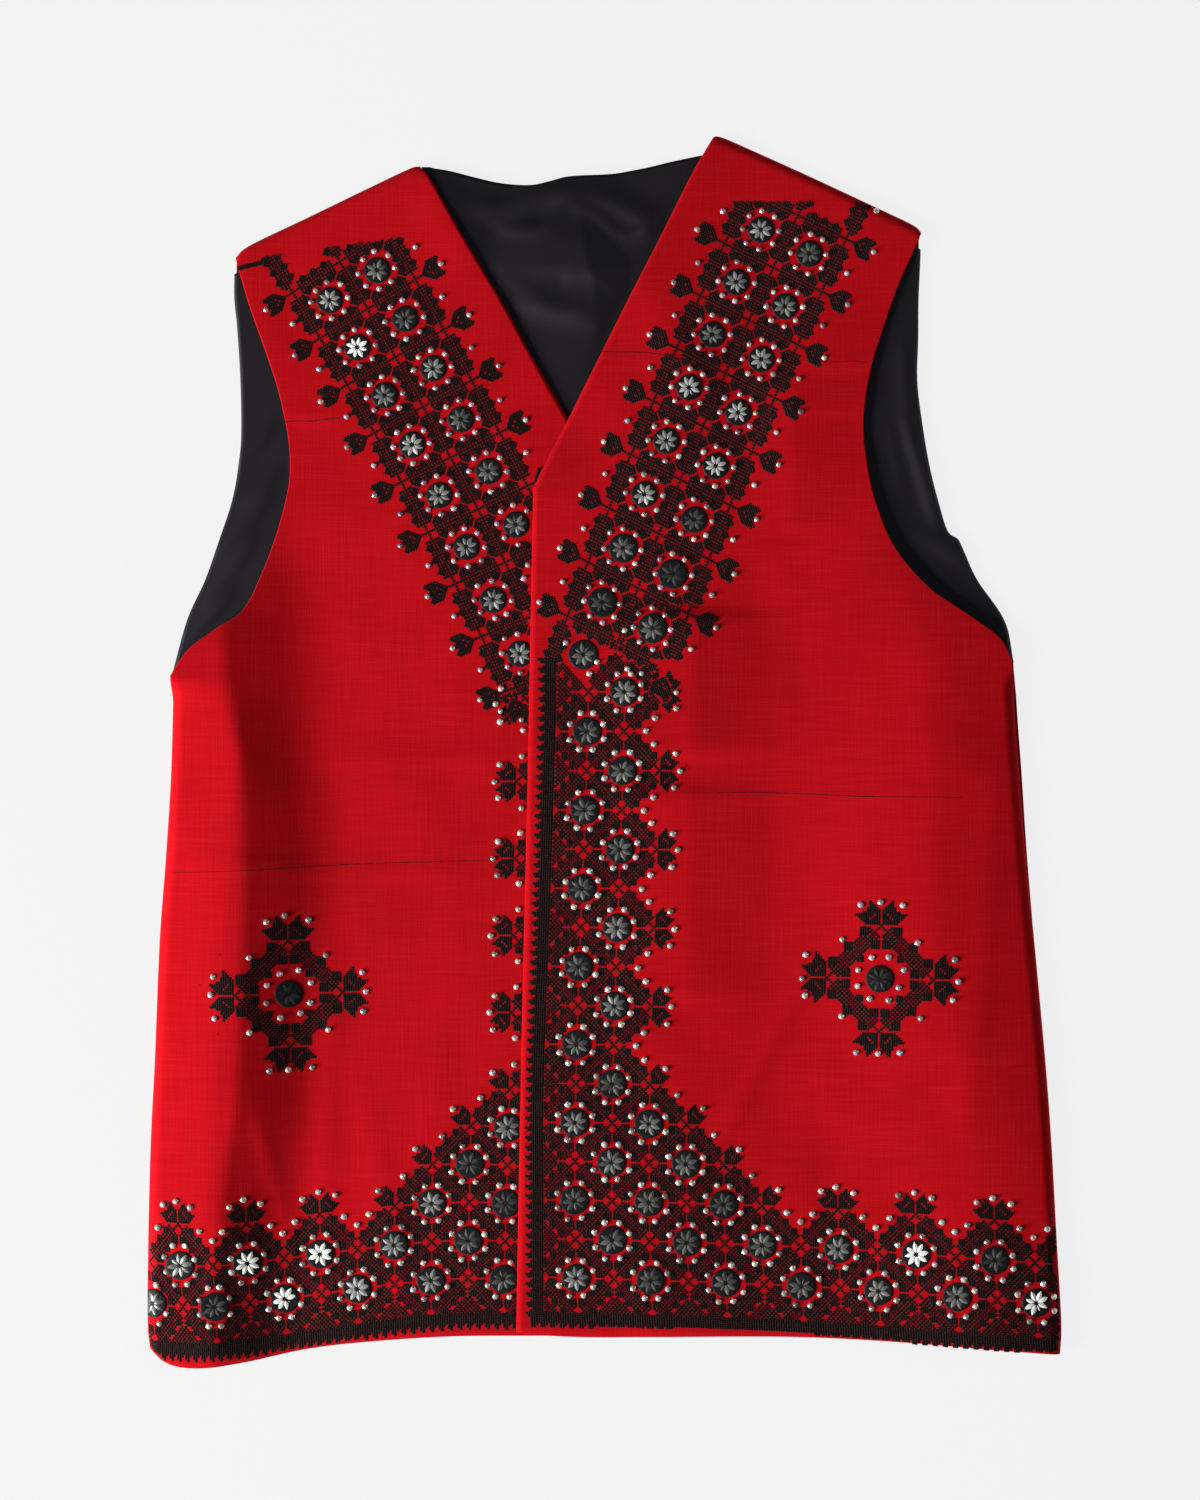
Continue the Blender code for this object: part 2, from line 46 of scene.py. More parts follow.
# ---------------------------------------------------------------- finishes
class Nodes:
    """Short names for building one material."""

    def __init__(self, name):
        self.mat = bpy.data.materials.new(name)
        self.mat.use_nodes = True
        self.tree = self.mat.node_tree
        self.bsdf = self.tree.nodes["Principled BSDF"]
        self.where = self.add("ShaderNodeTexCoord").outputs["Object"]

    def add(self, kind, **values):
        node = self.tree.nodes.new(kind)
        for key, value in values.items():
            setattr(node, key, value)
        return node

    def link(self, a, b):
        self.tree.links.new(a, b)

    def feed(self, socket, value):
        if isinstance(value, bpy.types.NodeSocket):
            self.link(value, socket)
        else:
            socket.default_value = value

    def set(self, name, value):
        self.feed(self.bsdf.inputs[name], value)

    def maths(self, operation, a, b=0.0, clamp=False):
        node = self.add("ShaderNodeMath", operation=operation, use_clamp=clamp)
        self.feed(node.inputs[0], a)
        self.feed(node.inputs[1], b)
        return node.outputs[0]

    def stretched(self, scale, turn=0.0, shift=(0, 0, 0)):
        node = self.add("ShaderNodeMapping")
        self.link(self.where, node.inputs["Vector"])
        node.inputs["Scale"].default_value = scale
        node.inputs["Location"].default_value = shift
        node.inputs["Rotation"].default_value = (0, 0, turn)
        return node.outputs[0]

    def noise(self, vector, scale=1.0, detail=2.0, rough=0.5):
        node = self.add("ShaderNodeTexNoise")
        self.link(vector, node.inputs["Vector"])
        node.inputs["Scale"].default_value = scale
        node.inputs["Detail"].default_value = detail
        node.inputs["Roughness"].default_value = rough
        return node.outputs["Fac"]

    def wave(self, vector, scale, bands, distort=0.0):
        node = self.add("ShaderNodeTexWave", wave_type="BANDS", bands_direction=bands)
        self.link(vector, node.inputs["Vector"])
        node.inputs["Scale"].default_value = scale
        node.inputs["Distortion"].default_value = distort
        return node.outputs["Fac"]

    def spread(self, value, low, high, to_low, to_high):
        node = self.add("ShaderNodeMapRange")
        self.link(value, node.inputs["Value"])
        for key, number in (("From Min", low), ("From Max", high), ("To Min", to_low), ("To Max", to_high)):
            node.inputs[key].default_value = number
        return node.outputs["Result"]

    def mix(self, factor, a, b, blend="MIX"):
        node = self.add("ShaderNodeMix", data_type="RGBA", blend_type=blend)
        self.feed(node.inputs[0], factor)
        self.feed(node.inputs[6], a)
        self.feed(node.inputs[7], b)
        return node.outputs[2]

    def attribute(self, name):
        node = self.add("ShaderNodeAttribute", attribute_name=name)
        return node.outputs["Fac"]

    def bump(self, height, strength, distance, below=None):
        node = self.add("ShaderNodeBump")
        self.link(height, node.inputs["Height"])
        node.inputs["Strength"].default_value = strength
        node.inputs["Distance"].default_value = distance
        if below is not None:
            self.link(below, node.inputs["Normal"])
        return node.outputs["Normal"]


def red_cloth(name, up_ribs, cross_ribs, bright):
    """Plain-woven red cloth: fine uneven threads both ways, a few heavier ones, a faint matt bloom."""
    n = Nodes(name)
    warp = n.noise(n.stretched((1300, 42, 42)), detail=2.5, rough=0.6)
    weft = n.noise(n.stretched((42, 1300, 42), shift=(3.1, 1.7, 0)), detail=2.5, rough=0.6)
    slub_up = n.noise(n.stretched((640, 24, 24), shift=(7.0, 2.0, 0)), detail=1.5)
    slub_across = n.noise(n.stretched((22, 560, 22), shift=(1.0, 5.0, 0)), detail=1.5)
    cloud = n.noise(n.stretched((9, 7, 9)), detail=3.0, rough=0.55)
    blotch = n.noise(n.stretched((38, 46, 38), shift=(0.4, 0.9, 0)), detail=2.0)
    tone = n.spread(warp, 0.3, 0.7, 1 - up_ribs, 1 + up_ribs)
    tone = n.maths("MULTIPLY", tone, n.spread(weft, 0.3, 0.7, 1 - cross_ribs, 1 + cross_ribs))
    tone = n.maths("MULTIPLY", tone, n.spread(slub_up, 0.3, 0.72, 1 - up_ribs, 1 + 0.6 * up_ribs))
    tone = n.maths("MULTIPLY", tone, n.spread(slub_across, 0.28, 0.6, 1 - 1.6 * cross_ribs, 1 + 0.3 * cross_ribs))
    tone = n.maths("MULTIPLY", tone, n.spread(cloud, 0.35, 0.65, 0.95, 1.05))
    tone = n.maths("MULTIPLY", tone, n.spread(blotch, 0.35, 0.65, 0.975, 1.025))
    tone = n.maths("MULTIPLY", tone, bright)
    pale = n.spread(weft, 0.45, 0.75, 0.0, 1.0)
    thread = n.mix(pale, (0.47, 0.0022, 0.0066, 1), (0.49, 0.0040, 0.0098, 1))
    grey = n.add("ShaderNodeCombineColor")
    for i in range(3):
        n.link(tone, grey.inputs[i])
    n.set("Base Color", n.mix(1.0, thread, grey.outputs[0], "MULTIPLY"))
    n.set("Roughness", 0.92)
    n.set("Specular IOR Level", 0.06)
    n.set("Sheen Weight", 0.10)
    n.set("Sheen Roughness", 0.45)
    n.set("Sheen Tint", (0.9, 0.10, 0.12, 1))
    lumps = n.maths("ADD", n.maths("ADD", warp, weft), n.maths("MULTIPLY", n.maths("ADD", slub_up, slub_across), 0.6))
    n.set("Normal", n.bump(lumps, 0.40, 0.00020))
    return n.mat


def satin(name):
    """Black satin: fine twill ribs that catch a soft gloss."""
    n = Nodes(name)
    ribs = n.noise(n.stretched((1500, 60, 60), turn=0.35), detail=2.0)
    cloud = n.noise(n.stretched((26, 18, 26)), detail=3.0)
    n.set("Base Color", n.mix(cloud, (0.0007, 0.0006, 0.0010, 1), (0.0012, 0.0010, 0.0016, 1)))
    n.set("Roughness", n.spread(cloud, 0.3, 0.7, 0.48, 0.52))
    n.set("Specular IOR Level", 0.62)
    n.set("Specular Tint", (0.90, 0.84, 1.0, 1))
    n.set("Normal", n.bump(ribs, 0.12, 0.00008))
    return n.mat


def thread(name):
    """Dull black embroidery thread."""
    n = Nodes(name)
    tone = n.attribute("tone")
    fibre = n.noise(n.stretched((2600, 2600, 2600)), detail=2.0)
    low = n.mix(tone, (0.0092, 0.0034, 0.0038, 1), (0.0215, 0.0090, 0.0096, 1))
    n.set("Base Color", n.mix(n.spread(fibre, 0.3, 0.7, 0.0, 0.5), low, (0.0270, 0.0114, 0.0119, 1)))
    n.set("Roughness", 0.70)
    n.set("Specular IOR Level", 0.09)
    n.set("Normal", n.bump(fibre, 0.3, 0.0001))
    return n.mat


def disc_cloth(name):
    """The dark round grounds under the petals, lighter where the tone attribute paints a highlight on their rims."""
    n = Nodes(name)
    grain = n.noise(n.stretched((1400, 1400, 1400)), detail=2.0)
    tone = n.attribute("tone")
    base = n.mix(tone, (0.0030, 0.0035, 0.0045, 1), (0.0100, 0.0110, 0.0130, 1))
    n.set("Base Color", n.mix(n.spread(grain, 0.3, 0.7, 0.0, 0.4), base, (0.012, 0.013, 0.015, 1)))
    n.set("Roughness", 0.62)
    n.set("Specular IOR Level", 0.16)
    n.set("Normal", n.bump(grain, 0.4, 0.00012))
    return n.mat


def petal_metal(name):
    """Small pressed metal petals, dull to bright; the glare attribute is a painted glint that lightens a petal and
    takes its metal away.
    """
    n = Nodes(name)
    tone, glare = n.attribute("tone"), n.attribute("glare")
    grain = n.noise(n.stretched((900, 900, 900)), detail=3.0)
    shade = n.maths("MULTIPLY", tone, n.spread(grain, 0.3, 0.7, 0.86, 1.12))
    grey = n.add("ShaderNodeCombineColor")
    n.link(n.maths("MULTIPLY", shade, 0.98), grey.inputs[0])
    n.link(shade, grey.inputs[1])
    n.link(n.maths("MULTIPLY", shade, 0.97), grey.inputs[2])
    n.set("Base Color", grey.outputs[0])
    # painted glint: where glare is set the petal turns to a light, less metallic colour
    n.set("Metallic", n.maths("MULTIPLY", n.maths("SUBTRACT", 1.0, glare, clamp=True), 0.55))
    n.set("Roughness", n.spread(grain, 0.3, 0.7, 0.34, 0.44))
    n.set("Normal", n.bump(grain, 0.15, 0.0001))
    return n.mat


def stone_glass(name):
    """Foil-backed cut stones with a slight change of colour from one to the next."""
    n = Nodes(name)
    hue, tone = n.attribute("hue"), n.attribute("tone")
    ramp = n.add("ShaderNodeValToRGB")
    n.link(hue, ramp.inputs["Fac"])
    stops = [
        (0.0, (0.86, 0.86, 0.84)), (0.30, (0.82, 0.90, 0.86)), (0.48, (0.95, 0.84, 0.70)), (0.62, (0.93, 0.72, 0.74)),
        (0.78, (0.80, 0.66, 0.92)), (0.90, (0.72, 0.80, 0.95)), (1.0, (0.90, 0.90, 0.88)),
    ]
    ramp.color_ramp.elements[0].position, ramp.color_ramp.elements[0].color = 0.0, (*stops[0][1], 1)
    ramp.color_ramp.elements[1].position, ramp.color_ramp.elements[1].color = 1.0, (*stops[-1][1], 1)
    for at, colour in stops[1:-1]:
        ramp.color_ramp.elements.new(at).color = (*colour, 1)
    flaw = n.noise(n.stretched((1100, 1100, 1100)), detail=1.0)
    n.set("Base Color", n.mix(n.maths("MULTIPLY", tone, 0.75), ramp.outputs["Color"], (0.13, 0.11, 0.10, 1)))
    n.set("Metallic", 0.60)
    n.set("Roughness", n.spread(flaw, 0.3, 0.7, 0.12, 0.30))
    n.set("Normal", n.bump(flaw, 0.08, 0.0001))
    return n.mat


# Dark red fibre for stray threads and flecks; on the hair-line creases the same dark strips are painted crease shade.
def fibre_and_painted_crease(name):
    n = Nodes(name)
    patchy = n.noise(n.stretched((140, 140, 140)), detail=3.0)
    n.set("Base Color", n.mix(n.spread(patchy, 0.35, 0.65, 0, 1), (0.030, 0.006, 0.006, 1), (0.16, 0.008, 0.010, 1)))
    n.set("Roughness", 0.9)
    n.set("Specular IOR Level", 0.1)
    return n.mat


def pale_board(name):
    """The smooth pale surface the vest lies on."""
    n = Nodes(name)
    grain = n.noise(n.stretched((260, 260, 260)), detail=3.0)
    shade = n.spread(grain, 0.3, 0.7, 0.048, 0.052)
    grey = n.add("ShaderNodeCombineColor")
    for i in range(3):
        n.link(shade, grey.inputs[i])
    n.set("Base Color", grey.outputs[0])
    n.set("Emission Color", (1.0, 1.0, 1.0, 1))
    n.set("Emission Strength", FLOOR_GLOW)
    n.set("Roughness", 0.8)
    n.set("Specular IOR Level", 0.1)
    return n.mat


FLOOR_GLOW = 0.842
KEY, KEY_SIZE, KEY_POWER = (205.0, 21.0, 3.0), (1.2, 1.2), 214.0
FILL, FILL_POWER = (20.0, 28.0, 3.0), 9.4
WORLD = 0.07
red_right = red_cloth("red_front_cloth_right", 0.044, 0.020, 1.0)
red_left = red_cloth("red_front_cloth_left", 0.022, 0.028, 0.98)
red_back = red_cloth("red_back_cloth", 0.04, 0.04, 0.92)
black_satin = satin("black_satin")
black_thread = thread("black_thread")
ground = disc_cloth("disc_ground")
metal = petal_metal("petal_metal")
glass = stone_glass("stone_glass")
fibre_and_crease_shade = fibre_and_painted_crease("fibre_and_painted_crease")
board = pale_board("pale_board")

# ---------------------------------------------------------------- sizes, mm
BACK_WALL = 1.0
LINING_WALL = 1.0
FRONT_WALL = 1.5
SEAM_GAP = 0.3
CROSS_GAP = 0.6
SEAM_TURN = 7.0
HEM_TURN = 9.0
BACK_INSET = 0.8
SIDE_ROLL_RIGHT = 38.0
SIDE_EDGE = 6.5
SIDE_ROLL_LEFT = 7.0
SHOULDER_ROLL = 6.0
CROSS_FADE = 70.0

BACK_TOP = BACK_WALL
LINING_TOP = BACK_TOP + SEAM_GAP + LINING_WALL
FRONT_TOP = LINING_TOP + SEAM_GAP + FRONT_WALL
RIM = BACK_TOP + SEAM_GAP

# ---------------------------------------------------------------- cutting tables

# columns: across, up
SIDE_RIGHT = [
    (-250.0, -327.2), (-251.1, -313.0), (-250.8, -269.0), (-249.4, -214.0),
    (-247.2, -170.0), (-244.5, -104.0), (-241.2, -60.0), (-238.4, -16.0),
    (-237.3, 20.0), (-236.8, 41.2),
]
ARMHOLE_RIGHT = [
    (-236.8, 41.2), (-226.9, 55.6), (-212.6, 66.6), (-197.2, 77.6),
    (-186.7, 99.6), (-179.0, 121.6), (-173.5, 143.6), (-172.4, 160.1),
    (-174.1, 176.6), (-179.0, 198.6), (-186.2, 220.6), (-194.0, 242.6),
    (-199.0, 259.0), (-202.7, 271.2),
]
SHOULDER_RIGHT = [
    (-202.7, 271.2), (-195.0, 277.8), (-162.0, 293.7), (-129.0, 309.7),
    (-107.0, 320.1), (-101.5, 321.2),
]
NECK_RIGHT = [
    (4.1, 132.6), (-0.3, 149.1), (-19.0, 179.9), (-39.3, 215.1),
    (-57.5, 248.1), (-77.3, 281.1), (-96.0, 314.1), (-101.5, 321.2),
]
CENTRE_RIGHT = [(18.4, -320.7), (14.6, -160.0), (10.7, -27.0), (6.6, 70.0), (4.1, 132.6)]
HEM_RIGHT = [
    (-250.0, -327.2), (-239.0, -335.5), (-222.5, -337.7), (-195.0, -334.4),
    (-162.0, -327.8), (-129.0, -324.0), (-85.0, -321.2), (-35.5, -320.7),
    (18.4, -320.7),
]

SIDE_LEFT = [
    (250.5, -331.1), (251.1, -313.0), (248.6, -269.0), (245.6, -214.0),
    (242.3, -170.0), (236.2, -104.0), (231.8, -60.0), (228.3, -16.0),
    (225.6, 20.0), (224.1, 47.9),
]
ARMHOLE_LEFT = [
    (224.1, 47.9), (217.5, 61.1), (203.2, 72.1), (179.0, 88.6),
    (159.8, 110.6), (149.9, 132.6), (144.4, 154.6), (142.0, 182.0),
    (146.0, 209.6), (152.6, 231.6), (160.3, 253.6), (166.9, 269.0),
    (174.1, 284.9),
]
SHOULDER_LEFT = [
    (174.1, 284.9), (169.1, 289.3), (146.0, 300.3), (113.0, 315.7),
    (80.0, 330.6), (64.6, 337.2), (60.2, 337.7),
]
NECK_LEFT = [
    (-38.8, 143.6), (-32.7, 156.8), (-20.1, 181.0), (-3.0, 215.1),
    (13.5, 248.1), (30.5, 281.1), (47.0, 314.1), (56.9, 331.7), (60.2, 337.7),
]
CENTRE_LEFT = [
    (-48.1, -318.5), (-45.4, -170.0), (-42.1, -27.0), (-40.4, 61.1), (-38.8, 143.6),
]
HEM_LEFT = [
    (-48.1, -318.5), (8.5, -318.5), (47.0, -319.0), (91.0, -320.7),
    (135.0, -324.0), (179.0, -327.8), (212.0, -330.6), (239.5, -331.7),
    (250.5, -331.1),
]

BACK_ARMHOLE_RIGHT = [
    (-237.0, 43.5), (-229.1, 72.1), (-219.2, 94.1), (-211.5, 116.1),
    (-204.3, 138.1), (-200.5, 160.1), (-199.4, 176.6), (-199.9, 204.1),
    (-201.6, 231.6), (-203.2, 248.1), (-203.2, 262.0),
]
BACK_ARMHOLE_LEFT = [
    (224.6, 49.0), (219.7, 71.5), (204.6, 94.1), (197.0, 110.6), (194.0, 116.6), (188.6, 120.6),
    (184.0, 134.6), (178.6, 156.1), (174.2, 182.1), (171.7, 204.1),
    (172.2, 226.1), (172.4, 248.1), (173.2, 266.0), (173.6, 275.5),
]
BACK_NECK = [
    (-96.0, 320.2), (-85.0, 318.5), (-74.0, 315.7), (-57.5, 311.9),
    (-41.0, 310.8), (-30.0, 313.0), (-19.0, 315.7), (3.0, 316.8),
    (14.0, 318.5), (25.0, 320.7), (36.0, 323.4), (50.5, 326.5),
]
BACK_HEM = [
    (-247.6, -322.0), (-238.0, -330.5), (-222.5, -334.0), (-195.0, -330.8),
    (-162.0, -324.2), (-129.0, -320.4), (-85.0, -317.2), (-35.5, -315.6),
    (47.0, -315.6), (91.0, -317.2), (135.0, -320.6), (179.0, -324.3),
    (212.0, -327.2), (239.5, -328.4), (248.0, -327.6),
]
# how far the back cloth stands out past the wearer's left front; columns: up, proud
BACK_PROUD = [(-327.0, -1.0), (-140.0, -0.8), (-70.0, 0.6), (-10.0, 1.4), (30.0, 1.4), (49.0, 0.6)]

# ---------------------------------------------------------------- folds
# the large fold along the wearer's right side; columns: up, crest, rise, fall
RIGHT_SIDE_FOLD = [
    (-340.0, -214.0, 7.0, 46.0),
    (-290.0, -213.0, 8.6, 48.0),
    (-247.0, -209.5, 10.6, 52.0),
    (-192.0, -201.0, 12.0, 52.0),
    (-137.0, -198.8, 12.0, 52.0),
    (-82.0, -197.2, 12.8, 56.0),
    (-27.0, -197.6, 12.8, 54.0),
    (-5.0, -198.0, 12.0, 48.0),
    (28.0, -206.0, 12.4, 55.0),
    (60.0, -208.0, 11.6, 58.0),
    (88.0, -208.0, 8.0, 56.0),
    (112.0, -206.0, 3.4, 50.0),
    (150.0, -200.0, 0.8, 40.0),
    (340.0, -190.0, 0.3, 30.0),
]
# the swell of the wearer's left front before it falls to its side; columns: up, crest, rise
LEFT_SIDE_SWELL = [
    (-340.0, 206.0, 4.6),
    (-220.0, 204.0, 5.6),
    (-150.0, 190.0, 6.0),
    (-100.0, 180.0, 6.2),
    (0.0, 178.0, 6.0),
    (60.0, 174.0, 4.6),
    (110.0, 160.0, 2.0),
    (180.0, 150.0, 0.6),
    (340.0, 150.0, 0.3),
]
# long flat slopes of the wearer's left front; columns: foot across, crest across, foot across, low, high, rise
SLOPES = [
    (-10.0, 48.0, 107.5, -3.0, 76.0, 2.8),
    (0.0, 47.0, 90.0, -137.0, -21.0, 1.8),
    (78.0, 104.0, 138.0, 121.0, 204.0, 1.1),
]
# soft folds of the fronts; columns: across, up, half width, half length, turn in degrees, rise
FRONT_FOLDS = [
    (-152.0, -185.0, 8.0, 75.0, 2.0, 0.7),
    (-96.0, -4.0, 7.0, 55.0, 88.0, 0.8),
    (-140.0, -66.0, 4.0, 85.0, 92.0, 0.5),
    (-180.0, -236.0, 5.0, 42.0, -15.0, 0.5),
    (-84.0, 294.0, 18.0, 30.0, -30.0, 1.7),
    (84.0, -175.0, 5.0, 58.0, 27.0, 0.5),
    (128.0, -24.0, 4.0, 66.0, 89.0, 0.4),
    (130.0, 190.0, 8.0, 40.0, 84.0, 0.8),
    (-60.0, 235.0, 12.0, 80.0, 30.0, 0.4),
    (24.0, 250.0, 12.0, 80.0, -26.0, 0.4),
]
# soft folds of the lining where it shows; same columns
LINING_FOLDS = [
    (-190.0, 170.0, 4.5, 24.0, 46.0, 0.7),
    (-184.0, 148.0, 4.0, 20.0, 50.0, 0.6),
    (-196.0, 126.0, 5.0, 26.0, 42.0, 0.8),
    (-206.0, 98.0, 5.0, 24.0, 36.0, 0.7),
    (-216.0, 74.0, 4.0, 18.0, 40.0, 0.6),
    (166.0, 196.0, 5.0, 30.0, -4.0, 0.9),
    (176.0, 150.0, 5.0, 30.0, -16.0, 1.3),
    (160.0, 160.0, 3.0, 20.0, -10.0, 0.4),
    (186.0, 112.0, 6.0, 16.0, -62.0, 0.9),
    (196.0, 84.0, 6.0, 24.0, -40.0, 0.4),
]
# the pleat down the lining's opening: a slow rise from the left, a sharp crest, a short fall;
# columns: up, across of its left foot, crest and right foot, rise
LINING_PLEAT = [
    (206.0, -36.0, -3.0, 0.0, 0.0),
    (232.0, -46.0, -3.1, 2.5, 1.0),
    (252.0, -56.0, -4.4, 11.0, 3.0),
    (259.0, -60.0, -5.6, 13.0, 3.4),
    (266.0, -64.0, -8.0, 15.0, 4.4),
    (280.0, -66.0, -11.0, 7.0, 3.2),
    (295.0, -68.0, -13.6, -8.0, 0.5),
    (300.0, -68.0, -14.0, -10.0, 0.0),
]
# soft ridges that run on over the pleat: width, rise, and the points that each follows
LINING_RIDGES = [
    (7.0, 1.7, [(-82.0, 296.0), (-52.0, 299.0), (-36.0, 304.5), (-20.0, 306.0), (-4.0, 305.0), (14.0, 297.0), (40.0, 284.0)]),
    (4.6, 1.1, [(-64.0, 287.0), (-36.0, 287.0), (-29.0, 291.0), (-22.0, 297.5), (-15.0, 299.0), (-3.0, 293.0), (10.0, 284.0), (34.0, 289.0)]),
    (3.4, 0.6, [(-26.0, 257.0), (-18.0, 260.5), (-10.0, 262.0), (-2.0, 260.0), (6.0, 253.5), (18.0, 244.0)]),
    (7.0, 1.5, [(-52.0, 252.0), (-39.0, 247.0), (-28.0, 243.0), (-15.0, 240.5), (4.0, 239.0)]),
]
# where the lining falls away from the lifted edge of a front; same columns as the soft folds
LINING_LIFTED = [(-84.0, 294.0, 12.0, 30.0, -30.0, 1.6)]

# small creases that only the cloth's surface shows; same columns as the soft folds
FINE_FOLDS = [
    (-205.0, -60.0, 3.0, 30.0, 92.0, 0.3),
    (-128.0, -20.0, 5.0, 40.0, 86.0, 0.4),
    (-168.0, 185.0, 4.0, 24.0, 95.0, 0.5),
    (-120.0, -240.0, 7.0, 60.0, -14.0, 0.4),
    (-88.0, -150.0, 10.0, 70.0, 6.0, 0.3),
    (30.0, 216.0, 4.0, 30.0, 84.0, 0.4),
    (140.0, 214.0, 4.0, 26.0, 84.0, 0.5),
    (96.0, 96.0, 12.0, 70.0, -18.0, 0.3),
    (140.0, -60.0, 14.0, 60.0, -8.0, 0.3),
    (206.0, -120.0, 9.0, 110.0, 5.0, 0.4),
    (112.0, -210.0, 14.0, 60.0, 12.0, 0.3),
]
# stray threads, and hair-line creases pressed into the cloth whose shade is painted as dark strips; columns: start
# across, up, end across, up
PRESSED_LINES = [
    (-2.5, 219.5, 47.0, 216.7),
    (107.5, 214.0, 144.5, 213.1),
    (62.0, -22.6, 195.5, -25.9),
    (-175.5, 180.4, -142.0, 182.6),
    (-236.0, -66.6, -49.0, -58.9),
]
# dark flecks; columns: across, up, radius
FLECKS = [
    (-159.0, -75.0, 0.9),
    (-166.0, -44.0, 1.0),
    (-210.0, -111.0, 0.8),
    (-221.0, -128.0, 0.7),
    (-224.0, -129.0, 0.6),
    (-87.0, -59.0, 0.6),
    (-211.0, -154.5, 0.7),
]


# ---------------------------------------------------------------- curves
def smooth(table, steps=10):
    p = np.array(table, float)
    p = np.vstack([2 * p[0] - p[1], p, 2 * p[-1] - p[-2]])
    out = []
    for i in range(1, len(p) - 2):
        a, b, c, d = p[i - 1 : i + 3]
        for t in np.linspace(0, 1, steps, endpoint=False):
            out.append(
                0.5 * (2 * b + (c - a) * t + (2 * a - 5 * b + 4 * c - d) * t**2 + (3 * b - a - 3 * c + d) * t**3)
            )
    out.append(p[-2])
    return np.array(out)


def along(curve, shares):
    run = np.concatenate([[0], np.cumsum(np.linalg.norm(np.diff(curve, axis=0), axis=1))])
    at = np.asarray(shares) * run[-1]
    return np.stack([np.interp(at, run, curve[:, 0]), np.interp(at, run, curve[:, 1])], axis=1)


def two_part(lower, upper, low_shares, high_shares):
    return np.vstack([along(smooth(lower), low_shares), along(smooth(upper), high_shares)[1:]])


def patch(outer, inner, bottom, top, across, upward):
    u = np.asarray(across)[None, :, None]
    v = np.asarray(upward)[:, None, None]
    L, R, B, T = outer[:, None, :], inner[:, None, :], bottom[None, :, :], top[None, :, :]
    corners = (
        (1 - u) * (1 - v) * B[:, :1] + u * (1 - v) * B[:, -1:] + (1 - u) * v * T[:, :1] + u * v * T[:, -1:]
    )
    return (1 - u) * L + u * R + (1 - v) * B + v * T - corners


# ---------------------------------------------------------------- heights
def step(t):
    t = np.clip(t, 0, 1)
    return t * t * (3 - 2 * t)


def column(table, up, which):
    rows = np.array(table, float)
    return np.interp(up, rows[:, 0], rows[:, which])


def pleat(table, x, y):
    left, crest, right, rise = (column(table, y, k) for k in range(1, 5))
    return rise * np.clip(np.minimum((x - left) / (crest - left), (right - x) / (right - crest)), 0, 1)


def ridges(table, x, y):
    """Soft ridges along curves, fading at both ends."""
    z = 0.0
    for width, rise, points in table:
        near, line = np.full(np.shape(x), 1e6), smooth(points, 4)
        for (ax, ay), (bx, by) in zip(line, line[1:]):
            dx, dy = bx - ax, by - ay
            t = np.clip(((x - ax) * dx + (y - ay) * dy) / (dx * dx + dy * dy), 0, 1)
            near = np.minimum(near, np.hypot(x - ax - t * dx, y - ay - t * dy))
        ends = [step(np.hypot(x - ex, y - ey) / (3 * width)) for ex, ey in (line[0], line[-1])]
        z = z + rise * np.exp(-((near / width) ** 2)) * ends[0] * ends[1]
    return z


def soft_folds(table, x, y):
    z = np.zeros_like(x)
    for across, up, width, length, turn, rise in table:
        c, s = math.cos(math.radians(turn)), math.sin(math.radians(turn))
        side, run = (x - across) * c - (y - up) * s, (x - across) * s + (y - up) * c
        z = z + rise * np.exp(-((side / width) ** 2) - (run / length) ** 4)
    return z


def slopes(table, x, y):
    """Straight-sided low ridges, fading at both ends."""
    z = np.zeros_like(x)
    for left, crest, right, low, high, rise in table:
        across = np.clip(np.minimum((x - left) / (crest - left), (right - x) / (right - crest)), 0, 1)
        z = z + rise * across * step((y - low + 5) / 10) * step((high + 5 - y) / 10)
    return z


_edges = {}


def edge_x(table, up):
    key = id(table)
    if key not in _edges:
        rows = smooth(table)
        _edges[key] = rows[np.argsort(rows[:, 1])]
    rows = _edges[key]
    return np.interp(up, rows[:, 1], rows[:, 0])


_tops = {}


def edge_y(table, across):
    key = id(table)
    if key not in _tops:
        rows = smooth(table)
        _tops[key] = rows[np.argsort(rows[:, 0])]
    rows = _tops[key]
    return np.interp(across, rows[:, 0], rows[:, 1])


def off_line(x, y, a, b):
    (ax, ay), (bx, by) = a, b
    n = math.hypot(bx - ax, by - ay)
    return ((bx - ax) * (ay - y) - (by - ay) * (ax - x)) / n


def turn_down(d, width):
    d = np.clip(d / width, 0, 1)
    return np.sqrt(np.clip(1 - (1 - d) ** 2, 0, 1))


def ripple(x, y):
    """Faint unevenness that no laid cloth is without."""
    return (
        0.16 * np.sin(x / 13.0 + 1.3 * np.sin(y / 31.0)) * np.sin(y / 23.0 + 0.7)
        + 0.12 * np.sin(y / 11.0 + 1.7 * np.sin(x / 27.0) + 2.0)
        + 0.10 * np.sin((x + 0.6 * y) / 8.5 + 0.5) * np.sin((x - y) / 40.0)
    )


def falling(t):
    """From 0 at a crest to 1 at its foot: rounded at the crest, straight, then easing out."""
    r = 0.07

    def run(s):
        return np.where(s < -r, 0.0, np.where(s > r, s, (s + r) ** 2 / (4 * r)))

    past = np.clip(t - 0.5, 0, 0.5)
    return np.clip((run(t) - past**2 - np.clip(t - 1, 0, None)) / 0.75, 0, 1)


